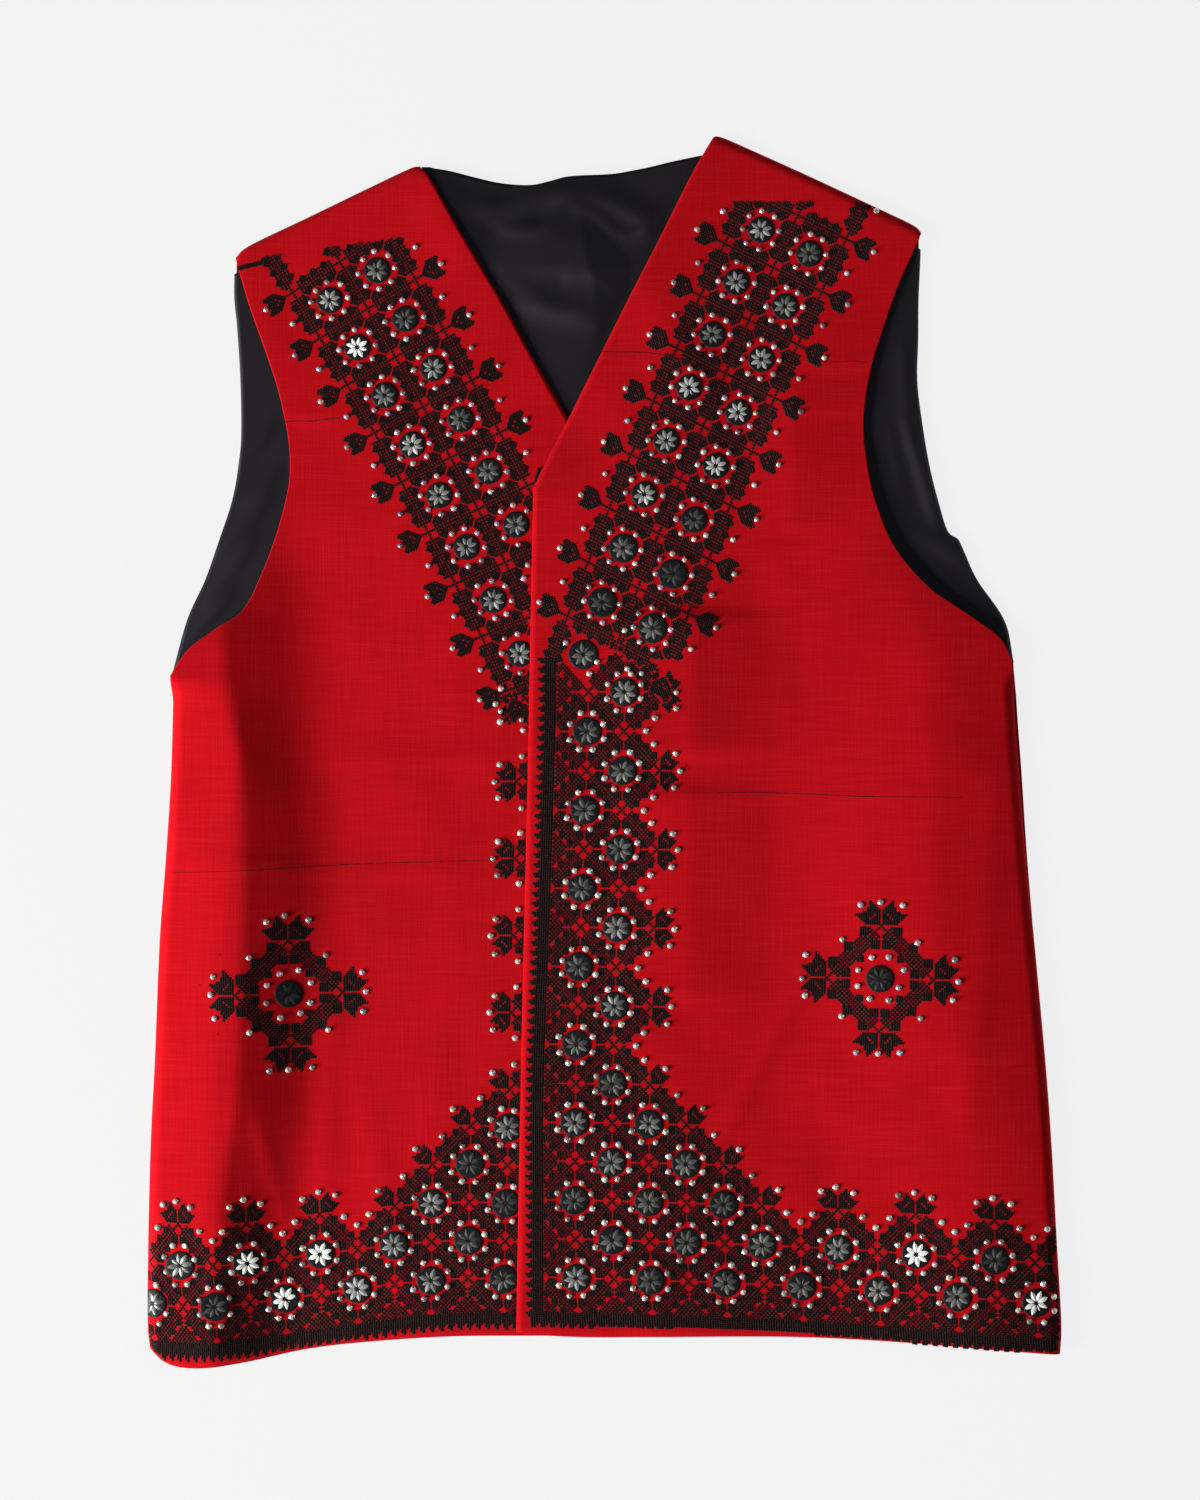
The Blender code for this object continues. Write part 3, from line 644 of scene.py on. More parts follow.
def laid(x, y):
    crest, rise, fall = (column(RIGHT_SIDE_FOLD, y, i) for i in (1, 2, 3))
    z = rise * (1 - falling((x - crest) / fall))
    crest, rise = column(LEFT_SIDE_SWELL, y, 1), column(LEFT_SIDE_SWELL, y, 2)
    before, past = np.clip(crest - x, 0, None), np.clip(x - crest, 0, None)
    up_to = np.clip(1 - before / 84, 0, 1)
    z = z + rise * (0.5 * up_to + 0.5 * step(up_to)) * (1 - 0.93 * np.clip(past / 60, 0, 1) ** 1.7)
    z = z + slopes(SLOPES, x, y)
    return z + soft_folds(FRONT_FOLDS, x, y) + soft_folds(FINE_FOLDS, x, y) + ripple(x, y)


def right_front_top(x, y):
    z = FRONT_TOP + laid(x, y)
    side = x - edge_x(SIDE_RIGHT, np.minimum(y, 41.2))
    free = step((y - 26.0) / 14.0)
    p = 0.62 * turn_down(side, SIDE_EDGE) + 0.38 * (1 - (1 - np.clip(side / SIDE_ROLL_RIGHT, 0, 1)) ** 1.3)
    z = RIM + (z - RIM) * (p + (1 - p) * free)
    shoulder = 0.9 * (edge_y(SHOULDER_RIGHT, x) - y)
    return RIM + (z - RIM) * turn_down(shoulder, SHOULDER_ROLL)


def left_front_top(x, y):
    lift = (FRONT_WALL + CROSS_GAP) * (1 - 0.8 * step((x - 24.0) / CROSS_FADE))
    z = FRONT_TOP + lift + laid(x, y)
    side = edge_x(SIDE_LEFT, np.minimum(y, 47.9)) - x
    free = step((y - 32.0) / 14.0)
    p = turn_down(side, SIDE_ROLL_LEFT)
    z = RIM + (z - RIM) * (p + (1 - p) * free)
    shoulder = 0.9 * (edge_y(SHOULDER_LEFT, x) - y)
    return RIM + (z - RIM) * turn_down(shoulder, SHOULDER_ROLL)


def lining_top(x, y):
    neck = np.minimum(
        off_line(x, y, (-19.0, 179.9), (-101.5, 321.2)), off_line(x, y, (60.2, 337.7), (-20.1, 181.0))
    )
    right = np.where(y > 45, edge_x(ARMHOLE_RIGHT, y) - x, 0)
    left = np.where(y > 52, x - edge_x(ARMHOLE_LEFT, y), 0)
    shows = np.maximum(step((neck - 1) / 9), np.maximum(step((right - 2) / 12), step((left - 2) / 12)))
    folds = soft_folds(LINING_FOLDS, x, y) + pleat(LINING_PLEAT, x, y) + ridges(LINING_RIDGES, x, y)
    return LINING_TOP + folds * shows + soft_folds(LINING_LIFTED, x, y)


# ---------------------------------------------------------------- meshes
def mesh_from(name, verts, quads=(), tris=(), smooth_shade=True):
    """A mesh object from arrays of points in millimetres, quads and triangles."""
    verts = np.asarray(verts, float) - (CENTRE_ACROSS, CENTRE_UP, 0.0)
    quads = np.asarray(quads, np.int32).reshape(-1, 4)
    tris = np.asarray(tris, np.int32).reshape(-1, 3)
    mesh = bpy.data.meshes.new(name)
    mesh.vertices.add(len(verts))
    mesh.vertices.foreach_set("co", (verts * MM).astype(np.float32).ravel())
    loops = np.concatenate([quads.ravel(), tris.ravel()])
    mesh.loops.add(len(loops))
    mesh.loops.foreach_set("vertex_index", loops)
    n = len(quads) + len(tris)
    mesh.polygons.add(n)
    totals = np.concatenate([np.full(len(quads), 4), np.full(len(tris), 3)]).astype(np.int32)
    starts = np.concatenate([[0], np.cumsum(totals)[:-1]]).astype(np.int32)
    mesh.polygons.foreach_set("loop_start", starts)
    mesh.polygons.foreach_set("use_smooth", np.full(n, smooth_shade))
    mesh.update(calc_edges=True)
    mesh.validate()
    obj = bpy.data.objects.new(name, mesh)
    bpy.context.scene.collection.objects.link(obj)
    return obj


def outward(obj):
    """Turns a closed piece's faces outward."""
    bm = bmesh.new()
    bm.from_mesh(obj.data)
    bmesh.ops.recalc_face_normals(bm, faces=bm.faces)
    if bm.calc_volume(signed=True) < 0:
        bmesh.ops.reverse_faces(bm, faces=bm.faces)
    bm.to_mesh(obj.data)
    bm.free()


def paint(obj, name, values):
    layer = obj.data.attributes.new(name=name, type="FLOAT", domain="POINT")
    layer.data.foreach_set("value", np.asarray(values, np.float32))


def shell(name, grid, top, thickness, mat, floor, round_rim=0.35):
    """A thin sheet of cloth with a softly rounded edge, under the surface that top gives."""
    rows, cols = grid.shape[:2]
    x, y = grid[..., 0], grid[..., 1]
    z = top(x, y)
    h = 0.25
    middle = grid.reshape(-1, 2).mean(axis=0)
    toward = middle - grid
    toward /= np.linalg.norm(toward, axis=2, keepdims=True) + 1e-9
    rim = np.zeros((rows, cols), bool)
    rim[0, :] = rim[-1, :] = rim[:, 0] = rim[:, -1] = True
    nudge = np.where(rim[..., None], toward * 2 * h, 0)
    qx, qy = x + nudge[..., 0], y + nudge[..., 1]
    gx = (top(qx + h, qy) - top(qx - h, qy)) / (2 * h)
    gy = (top(qx, qy + h) - top(qx, qy - h)) / (2 * h)
    n = np.stack([-gx, -gy, np.ones_like(gx)], axis=2)
    n /= np.linalg.norm(n, axis=2, keepdims=True)
    outer = np.stack([x, y, z], axis=2)
    inner = outer - thickness * n
    inner[..., 2] = np.maximum(inner[..., 2], floor)
    k = rows * cols
    index = np.arange(k).reshape(rows, cols)
    a, b, c, d = index[:-1, :-1], index[:-1, 1:], index[1:, 1:], index[1:, :-1]
    up_faces = np.stack([a, b, c, d], axis=-1).reshape(-1, 4)
    down_faces = np.stack([d, c, b, a], axis=-1).reshape(-1, 4) + k
    ring = np.concatenate([index[0, :-1], index[:-1, -1], index[-1, :0:-1], index[:0:-1, 0]])
    back = np.concatenate([index[1, :-1], index[:-1, -2], index[-2, :0:-1], index[:0:-1, 1]])
    flat_out, flat_in = outer.reshape(-1, 3), inner.reshape(-1, 3)
    run = flat_out[ring] - flat_out[back]
    run[:, 2] = 0
    run /= np.linalg.norm(run, axis=1, keepdims=True) + 1e-9
    mid = (flat_out[ring] + flat_in[ring]) / 2 + run * round_rim
    verts = np.vstack([flat_out, flat_in, mid])
    m = 2 * k + np.arange(len(ring))
    m2, ring2 = np.roll(m, -1), np.roll(ring, -1)
    side = np.vstack([
        np.stack([ring2, ring, m, m2], axis=1),
        np.stack([m2, m, k + ring, k + ring2], axis=1),
    ])
    obj = mesh_from(name, verts, np.vstack([up_faces, down_faces, side]))
    outward(obj)
    obj.data.materials.append(mat)
    return obj


def front_grid(side, armhole, centre, neck, hem, shoulder, cols, low, high):
    outer = two_part(side, armhole, low, high)
    inner = two_part(centre, neck, low, high)
    upward = np.concatenate([low * 0.6, 0.6 + high[1:] * 0.4])
    return patch(outer, inner, along(smooth(hem), cols), along(smooth(shoulder), cols), cols, upward)


def inside(ring, x, y):
    """Whether points lie within a closed outline."""
    hit = np.zeros(len(x), bool)
    for (x1, y1), (x2, y2) in zip(ring, np.roll(ring, -1, axis=0)):
        if y1 == y2:
            continue
        cross = ((y1 > y) != (y2 > y)) & (x < (x2 - x1) * (y - y1) / (y2 - y1) + x1)
        hit ^= cross
    return hit


def drawn_ring(ring, distance):
    """A counter-clockwise outline moved inward."""
    d = np.roll(ring, -1, axis=0) - np.roll(ring, 1, axis=0)
    d /= np.linalg.norm(d, axis=1, keepdims=True) + 1e-9
    return ring + distance * np.stack([-d[:, 1], d[:, 0]], axis=1)

# ---------------------------------------------------------------- the stitch charts
# A lattice of eight-petalled flowers and small crosses, both on the stitch grid. Sites are counted in
# half repeats: a flower where the two counts add up to an even number, a cross where they add up to an odd one.
HALF = 18  # stitches from a flower to the next cross
TEETH = [(3, 11), (7, 7), (11, 3), (7, 15), (11, 11), (15, 7)]
LONE_HALF = 24
LONE_TEETH = [(2.5, 15.8), (9.0, 9.0), (15.8, 2.5), (7.5, 21.5), (14.5, 14.5), (21.5, 7.5)]


class Chart:
    """Solid and chequered stitches, and where the stones and flowers go, in stitches from site (0, 0)."""

    def __init__(self, flowers, filled_up=(), filled_hem=(), ghosts=(), half=HALF, teeth=TEETH, tooth=1.0, bar=4,
                 leaf=(5, 11, 1), slope=0.65, eyes=((4, 4), (5, 3), (3, 5)), stem=False, ring=9.0, tip=7.9, between=10.2,
                 beside=6.8, parts=(), open_to=3, full=0.0):
        self.half, self.flowers, self.stones = half, [], []
        S, G = set(flowers), set(ghosts)
        F = set(filled_up) | set(filled_hem)
        up = set(filled_up) - set(filled_hem)
        every = S | F | G
        lo_a, hi_a = min(a for a, b in every) - 2, max(a for a, b in every) + 2
        lo_b, hi_b = min(b for a, b in every) - 2, max(b for a, b in every) + 2
        self.i0, self.j0 = lo_a * half, lo_b * half
        I, J = np.meshgrid(np.arange(lo_a * half, hi_a * half + 1), np.arange(lo_b * half, hi_b * half + 1), indexing="ij")
        self.I, self.J = I, J
        solid, hatch = np.zeros(I.shape, bool), np.zeros(I.shape, bool)

        def window(a, b, reach):
            i, j = a * half - self.i0, b * half - self.j0
            i1, j1 = max(i - reach, 0), max(j - reach, 0)
            w = (slice(i1, i + reach + 1), slice(j1, j + reach + 1))
            return w, I[w] - a * half, J[w] - b * half

        for a, b in S | F:
            w, li, lj = window(a, b, half)
            ai, aj = np.abs(li), np.abs(lj)
            m = (ai < half) & (aj < half)
            s = ai + aj - half
            along_axis = (ai == 0) | (aj == 0)
            p, q = half - ai, aj
            arrow = ((q == 1) & (p >= 2) & (p <= open_to)) | ((p == 1) & (q >= 2) & (q <= open_to))
            p, q = half - aj, ai
            arrow |= ((q == 1) & (p >= 2) & (p <= open_to)) | ((p == 1) & (q >= 2) & (q <= open_to))
            if (a, b) in S:
                hatch[w] |= m & (np.abs(s) <= bar) & ~along_axis & ~arrow
                for ci, cj in teeth:
                    low_i, low_j = tooth + (ci < 5) * full, tooth + (cj < 5) * full
                    solid[w] |= m & (ai >= ci - low_i) & (ai <= ci + tooth) & (aj >= cj - low_j) & (aj <= cj + tooth)
                self.flowers.append((a * half, b * half))
                for k in range(8):
                    t = math.radians(22.5 + 45 * k)
                    self.stones.append((a * half + ring * math.cos(t), b * half + ring * math.sin(t)))
            else:
                open_axis = ((ai == 0) & (aj >= 10)) | ((aj == 0) & (ai >= 10))
                if (a, b) not in up:
                    gap = ((ai >= 3) & (ai <= 5) & (aj >= 8) & (aj <= 9)) | ((ai >= 7) & (ai <= 9) & (aj >= 4) & (aj <= 5))
                else:
                    gap = ((aj >= 3) & (aj <= 5) & (ai >= 8) & (ai <= 9)) | ((aj >= 7) & (aj <= 9) & (ai >= 4) & (ai <= 5))
                hatch[w] |= m & (s <= bar) & ~open_axis & ~arrow & ~gap
                for ci, cj in teeth[3:]:
                    solid[w] |= m & (np.abs(ai - ci) <= tooth) & (np.abs(aj - cj) <= tooth)
        for (a, b), (sa, sb) in parts:  # a single bar of a flower that isn't there
            w, li, lj = window(a, b, half)
            ai, aj = li * sa, lj * sb
            m = (ai >= 0) & (aj >= 0) & (ai < half) & (aj < half)
            hatch[w] |= m & (np.abs(ai + aj - half) <= bar) & (ai > 1) & (aj > 1)
            for ci, cj in teeth:
                solid[w] |= m & (np.abs(ai - ci) <= tooth) & (np.abs(aj - cj) <= tooth)
        crosses = {(a + da, b + db) for a, b in S for da, db in ((1, 0), (-1, 0), (0, 1), (0, -1))}
        shrink, reach, start = leaf
        for a, b in crosses:
            w, li, lj = window(a, b, 14)
            solid[w] |= (np.abs(li) == np.abs(lj)) & (np.abs(li) <= 2)
            for sa in (1, -1):
                for sb in (1, -1):
                    if (a + sa, b) in every or (a, b + sb) in every:
                        continue
                    p, q = sa * li, sb * lj
                    blade = (p >= start) & (q >= start) & (np.abs(p - q) <= shrink) & (p + q <= reach + slope * np.abs(p - q))
                    for ep, eq in eyes:
                        blade &= ~((p == ep) & (q == eq))
                    solid[w] |= blade
                    if stem:
                        solid[w] |= (p == q) & (p >= 1) & (p < start)
                    self.stones.append((a * half + sa * tip, b * half + sb * tip))
            for da, db in ((1, 0), (-1, 0), (0, 1), (0, -1)):
                if (a + da, b + db) in every:
                    continue
                left, right = (a + db, b + da) in every, (a - db, b - da) in every
                if left and right:  # a dip between two points
                    self.stones.append((a * half + 11.4 * da, b * half + 11.4 * db))
                elif not left and not right and (a - da, b - db) in every:  # a point, between its two leaves
                    self.stones.append((a * half + between * da, b * half + between * db))
        for a, b in S:
            for sa in (1, -1):
                for sb in (1, -1):
                    if (a + sa, b + sb) in every:
                        continue
                    out = beside / math.sqrt(2)
                    ci, cj = a * half + sa * (half / 2 + out), b * half + sb * (half / 2 + out)
                    ends = [((a + sa, b), (a + sa, b + sb)), ((a, b + sb), (a + sa, b + sb))]
                    slide = [0.0, 0.0]
                    if (a + 2 * sa, b) in every:  # the dip is beside this flower
                        slide = [-1.8 * sa, 1.8 * sb]
                    if (a, b + 2 * sb) in every:
                        slide = [1.8 * sa, -1.8 * sb]
                    self.stones.append((ci + slide[0], cj + slide[1]))
        hatch &= ~solid
        hatch &= (I + J) % 2 == 0
        self.solid, self.hatch = solid, hatch

    def cells(self):
        on = self.solid | self.hatch
        return self.I[on], self.J[on], self.solid[on]


def surface(rows):
    """A smooth placing of lattice counts on the cloth; columns: powers of the two counts, across, up."""

    def place(a, b):
        a, b = np.asarray(a, float), np.asarray(b, float)
        x, y = np.zeros_like(a), np.zeros_like(a)
        for m, n, cx, cy in rows:
            t = a**m * b**n
            x, y = x + cx * t, y + cy * t
        return x, y

    return place


# the wearer's left front: centre band and hem
over_place = surface([
    (0, 0, -15.61, -289.11), (1, 0, 20.359, -0.524), (0, 1, -0.742, 21.344), (2, 0, 0.0307, -0.0385),
    (1, 1, -0.0291, 0.0455), (0, 2, 0.1583, -0.00285), (3, 0, 0.00188, -0.00082), (0, 3, -0.00533, 0.00055),
])
# the wearer's right front: hem
under_place = surface([
    (0, 0, -55.48, -289.87), (1, 0, 19.565, -0.966), (0, 1, 0.6226, 20.757), (2, 0, -0.2304, -0.8122),
    (1, 1, 0.2098, -0.2124), (3, 0, -0.0265, -0.0588),
])


def under_band_place(a, b):
    a, b = np.asarray(a, float), np.asarray(b, float)
    x = -47.58 - 0.495 * (15 - b) + 21.09 * a
    y = -143.55 + 21.12 * (b - 7)
    return x, y


def neck_place(rows):
    inner = surface(rows)

    def place(a, b):
        a, b = np.asarray(a, float), np.asarray(b, float)
        return inner((a - b) / 2, (a + b) / 2)

    return place


neck_right_place = neck_place([
    (0, 0, -150.91, 247.32), (1, 0, 15.202, -25.472), (2, 0, -0.0429, -0.3205), (0, 1, 26.033, 16.451),
    (1, 1, 0.2548, -0.8336),
])
neck_left_place = neck_place([
    (0, 0, 112.25, 272.81), (1, 0, -13.533, -28.794), (2, 0, 0.1776, -0.0836), (0, 1, -26.560, 13.118),
    (1, 1, -0.1343, 0.1661),
])


def band_sites(columns):
    """Neck band flowers as lattice counts; columns: place along the band, place across it."""
    return [(k + c, c - k) for k, c in columns]


# ---------------------------------------------------------------- stitches on the cloth
def frame_of(top, x, y):
    """Point, and the cloth's slope there."""
    h = 0.3
    z = top(x, y)
    gx = np.clip((top(x + h, y) - top(x - h, y)) / (2 * h), -3, 3)
    gy = np.clip((top(x, y + h) - top(x, y - h)) / (2 * h), -3, 3)
    n = np.stack([-gx, -gy, np.ones_like(gx)], axis=1)
    n /= np.linalg.norm(n, axis=1, keepdims=True)
    return z, gx, gy, n


def cross_stitches(name, x, y, ei, ej, solid, top, mat, seed):
    """Two crossed threads for each stitch, over a flat ground of thread where the work is solid."""
    rng = np.random.default_rng(seed)
    n = len(x)
    z, gx, gy, normal = frame_of(top, x, y)
    jitter = rng.normal(0, 0.045, (n, 2))
    c = np.stack([x, y], axis=1) + jitter
    grow = np.where(solid, 1.04, 1.16)[:, None]
    ei, ej = ei * grow, ej * grow
    turn = rng.normal(0, 0.05, n)[:, None]
    ei, ej = ei + turn * ej, ej - turn * ei
    size = np.linalg.norm(ei, axis=1)
    half_wide = size * np.where(solid, 0.27, 0.30) * rng.uniform(0.9, 1.1, n)
    verts, quads, tone = [], [], []
    shade = rng.uniform(0, 1, n)
    base = 0

    def lift(points, height):
        d = points - np.stack([x, y], axis=1)
        zz = z + gx * d[:, 0] + gy * d[:, 1]
        return np.column_stack([points, zz]) + normal * np.asarray(height)[:, None]

    for k, (a, b) in enumerate(((-0.5 * ei - 0.5 * ej, 0.5 * ei + 0.5 * ej), (0.5 * ei - 0.5 * ej, -0.5 * ei + 0.5 * ej))):
        run = b - a
        side = np.stack([-run[:, 1], run[:, 0]], axis=1)
        side /= np.linalg.norm(side, axis=1, keepdims=True)
        w = side * half_wide[:, None]
        peak = (0.30 + 0.20 * k) * np.ones(n) + rng.normal(0, 0.03, n)
        low = np.full(n, 0.07 + 0.02 * k)
        pts = [lift(c + a * 0.97 - w * 0.75, low), lift(c + a * 0.97 + w * 0.75, low),
               lift(c - w, peak), lift(c + w, peak),
               lift(c + b * 0.97 - w * 0.75, low), lift(c + b * 0.97 + w * 0.75, low)]
        verts.append(np.stack(pts, axis=1).reshape(-1, 3))
        r = base + 6 * np.arange(n)[:, None]
        quads.append(r + np.array([0, 2, 3, 1]))
        quads.append(r + np.array([2, 4, 5, 3]))
        tone.append(np.repeat(np.clip(shade + 0.15 * k, 0, 1), 6))
        base += 6 * n
    for s, spread in ((solid, 0.565), (~solid, 0.575)):
        if not s.any():
            continue
        cs = c[s]
        es, fs = ei[s] * spread, ej[s] * spread
        pts = []
        for sa, sb in ((-1, -1), (1, -1), (1, 1), (-1, 1)):
            p = cs + sa * es + sb * fs
            d = p - np.stack([x[s], y[s]], axis=1)
            zz = z[s] + gx[s] * d[:, 0] + gy[s] * d[:, 1]
            pts.append(np.column_stack([p, zz]) + normal[s] * 0.10)
        verts.append(np.stack(pts, axis=1).reshape(-1, 3))
        quads.append(base + 4 * np.arange(len(cs))[:, None] + np.arange(4))
        base += 4 * len(cs)
        tone.append(np.repeat(shade[s] * 0.3, 4))
    obj = mesh_from(name, np.vstack(verts), np.vstack(quads), smooth_shade=False)
    paint(obj, "tone", np.concatenate(tone))
    obj.data.materials.append(mat)
    return obj


def put(place, half, i, j):
    """Where stitches land, and one stitch's run along each count."""
    a, b = np.asarray(i, float) / half, np.asarray(j, float) / half
    x, y = place(a, b)
    h = 0.25 / half
    x1, y1 = place(a + h, b)
    x2, y2 = place(a - h, b)
    x3, y3 = place(a, b + h)
    x4, y4 = place(a, b - h)
    ei = np.stack([x1 - x2, y1 - y2], axis=1) * 2
    ej = np.stack([x3 - x4, y3 - y4], axis=1) * 2
    return x, y, ei, ej

# ---------------------------------------------------------------- the four pieces of cloth
def dense(parts):
    """Shares from 0 to 1 that are closer together in places; parts are (from, to, count)."""
    return np.unique(np.round(np.concatenate([np.linspace(a, b, n) for a, b, n in parts]), 6))


low = np.linspace(0, 1, 125)
high = dense([(0, 0.94, 84), (0.94, 1.0, 16)])
cols = dense([(0, 0.02, 7), (0.02, 0.24, 34), (0.24, 1.0, 66)])
grid = front_grid(SIDE_RIGHT, ARMHOLE_RIGHT, CENTRE_RIGHT, NECK_RIGHT, HEM_RIGHT, SHOULDER_RIGHT, cols, low, high)
front_right = shell("front_right_cloth", grid, right_front_top, FRONT_WALL, red_right, RIM)
cols = dense([(0, 0.03, 12), (0.03, 1.0, 92)])
grid = front_grid(SIDE_LEFT, ARMHOLE_LEFT, CENTRE_LEFT, NECK_LEFT, HEM_LEFT, SHOULDER_LEFT, cols, low, high)
front_left = shell("front_left_cloth", grid, left_front_top, FRONT_WALL, red_left, RIM)


def drawn_in(side, by, last):
    rows = [(x + by * (1 - step((y - 12.0) / 26.0)), y) for x, y in side]
    return rows[:-1] + [last]


lin_right = drawn_in(SIDE_RIGHT, SEAM_TURN, BACK_ARMHOLE_RIGHT[0])
lin_left = drawn_in(SIDE_LEFT, -SEAM_TURN, BACK_ARMHOLE_LEFT[0])
lin_hem = [(x * 0.972, y + HEM_TURN) for x, y in BACK_HEM]
lin_right[0], lin_left[0] = lin_hem[0], lin_hem[-1]
corner = [(-101.6, 311.2), (-101.4, 318.0), (-100.4, 320.6), (-96.0, 320.6)]
lin_top = np.vstack([[(-203.2, 262.0)], corner, smooth(BACK_NECK, 6)[1:], [(58.0, 327.9), (173.6, 275.5)]])
low_l, high_l = np.linspace(0, 1, 24), np.linspace(0, 1, 130)
run = np.concatenate([[0], np.cumsum(np.linalg.norm(np.diff(lin_top, axis=0), axis=1))])
corners = run[[1, 2, 3, 4, -2]] / run[-1]
across = np.unique(np.round(np.concatenate([np.linspace(0, 1, 190), corners]), 6))
upward = np.concatenate([low_l * 0.58, 0.58 + high_l[1:] * 0.42])
grid = patch(
    two_part(lin_right, BACK_ARMHOLE_RIGHT, low_l, high_l), two_part(lin_left, BACK_ARMHOLE_LEFT, low_l, high_l),
    along(smooth(lin_hem), across), along(lin_top, across), across, upward)
lining = shell("lining_satin", grid, lining_top, LINING_WALL, black_satin, BACK_TOP + SEAM_GAP, 0.25)


def inset(curve, distance):
    d = np.gradient(curve, axis=0)
    d /= np.linalg.norm(d, axis=1, keepdims=True)
    return curve + distance * np.stack([-d[:, 1], d[:, 0]], axis=1)


def flat_cloth(name, ring, top, mat):
    """Flat cloth inside one outline, with a softly rounded edge."""
    levels = [(0.0, 0.0), (0.25, 0.0), (0.5, 0.0), (0.78, 0.07), (0.95, 0.25), (1.0, 0.5)]
    rows, k = [], len(ring)
    for share, draw in levels:
        pts = drawn_ring(ring, draw * top * 0.6)
        rows.append(np.column_stack([pts, np.full(k, share * top)]))
    verts = np.vstack(rows)
    quads = []
    i = np.arange(k)
    j = (i + 1) % k
    for r in range(len(levels) - 1):
        quads.append(np.stack([r * k + i, r * k + j, (r + 1) * k + j, (r + 1) * k + i], axis=1))
    obj = mesh_from(name, verts, np.vstack(quads))
    bm = bmesh.new()
    bm.from_mesh(obj.data)
    bm.verts.ensure_lookup_table()
    for first in (0, (len(levels) - 1) * k):
        bm.faces.new([bm.verts[first + n] for n in range(k)])
    bmesh.ops.triangulate(bm, faces=[f for f in bm.faces if len(f.verts) > 4])
    bm.to_mesh(obj.data)
    bm.free()
    outward(obj)
    obj.data.materials.append(mat)
    return obj


side_r = smooth(SIDE_RIGHT, 6)[1:-1] + (1.0, 0.0)
side_l = smooth(SIDE_LEFT, 6)[1:-1]
side_l = side_l + np.stack([column(BACK_PROUD, side_l[:, 1], 1), np.zeros(len(side_l))], axis=1)
back = flat_cloth("back_cloth", np.vstack([
    smooth(BACK_HEM, 6), side_l, inset(smooth(BACK_ARMHOLE_LEFT, 6), BACK_INSET),
    inset(smooth([(173.4, 284.4)] + SHOULDER_LEFT[1:], 3), 0.6), [(59.4, 333.5), (56.4, 327.0)],
    inset(smooth(BACK_NECK[::-1], 6), BACK_INSET)[:-1], [(-98.8, 316.8)],
    inset(smooth(SHOULDER_RIGHT[::-1], 3), 0.6)[3:], inset(smooth(BACK_ARMHOLE_RIGHT[::-1], 6), BACK_INSET), side_r[::-1],
]), BACK_TOP, red_back)

# outlines of the two fronts, counter-clockwise, for what is worked on them
ring_right = np.vstack([
    smooth(HEM_RIGHT), smooth(CENTRE_RIGHT)[1:], smooth(NECK_RIGHT)[1:], smooth(SHOULDER_RIGHT)[::-1][1:],
    smooth(ARMHOLE_RIGHT)[::-1][1:], smooth(SIDE_RIGHT)[::-1][1:-1],
])
ring_left = np.vstack([
    smooth(HEM_LEFT), smooth(SIDE_LEFT)[1:], smooth(ARMHOLE_LEFT)[1:], smooth(SHOULDER_LEFT)[1:],
    smooth(NECK_LEFT)[::-1][1:], smooth(CENTRE_LEFT)[::-1][1:-1],
])
free_right, free_left = drawn_ring(ring_right, 1.2), drawn_ring(ring_left, 1.2)


def clear_of_over(x, y, by):
    """Whether a point of the under front lies at least this far outside the over front, or less where by is negative."""
    edge = np.where(y < 143.6, edge_x(CENTRE_LEFT, y), edge_x(NECK_LEFT, np.maximum(y, 143.6)))
    return x < edge - by


# ---------------------------------------------------------------- the worked patterns
over = Chart(
    flowers=[(0, b) for b in range(0, 15, 2)] + [(1, b) for b in range(1, 16, 2)]
    + [(2, 0), (2, 2), (2, 4), (3, 1), (3, 3), (4, 0), (4, 2), (5, 1)]
    + [(a, 0) for a in (6, 8, 10, 12)] + [(a, 1) for a in (7, 9, 11, 13)],
    filled_up=[(-1, b) for b in range(-1, 16, 2)],
    filled_hem=[(a, -1) for a in range(1, 14, 2)],
    beside=6.6, bar=5, open_to=3, full=1.0,
)
under = Chart(
    flowers=[(-a, 0) for a in range(0, 13, 2)] + [(-a, 1) for a in range(1, 12, 2)] + [(0, 2), (-2, 2), (-1, 3), (0, 4)],
    ghosts=[(1, 1), (1, 3), (1, 5)],
    filled_hem=[(-a, -1) for a in range(-1, 14, 2)],
    beside=6.4, bar=5, open_to=3, full=1.0,
)
under_band = Chart(
    flowers=[(1, b) for b in range(5, 16, 2)], ghosts=[(0, 4), (2, 4), (2, 16)], beside=6.6, bar=5, open_to=3, full=1.0
)
NECK_LEAF = {"ring": 8.5, "leaf": (6, 17, 3), "slope": 0.4, "eyes": ((5, 5), (7, 5), (5, 7)), "stem": True, "tip": 9.9, "beside": 7.3,
             "bar": 5, "open_to": 3, "full": 1.0}
NECK_TOP = [((-1, 1), (-1, -1)), ((-1, 1), (1, 1))]
neck_right = Chart(
    flowers=band_sites([(k, c) for k in range(8) for c in (0, 1)]), ghosts=[(-1, 1), (0, 2)], parts=NECK_TOP, **NECK_LEAF
)
neck_left = Chart(
    flowers=band_sites([(k, c) for k in range(8) for c in (0, 1)]), ghosts=[(-1, 1), (0, 2), (9, -7)],
    parts=NECK_TOP + [((9, -7), (-1, 1)), ((9, -7), (1, 1))], **NECK_LEAF
)
lone = Chart(flowers=[(0, 0)], half=LONE_HALF, teeth=LONE_TEETH, tooth=1.9, leaf=(6, 13, 1), ring=10.5, tip=9.4, between=11.0,
             beside=7.6, bar=5)


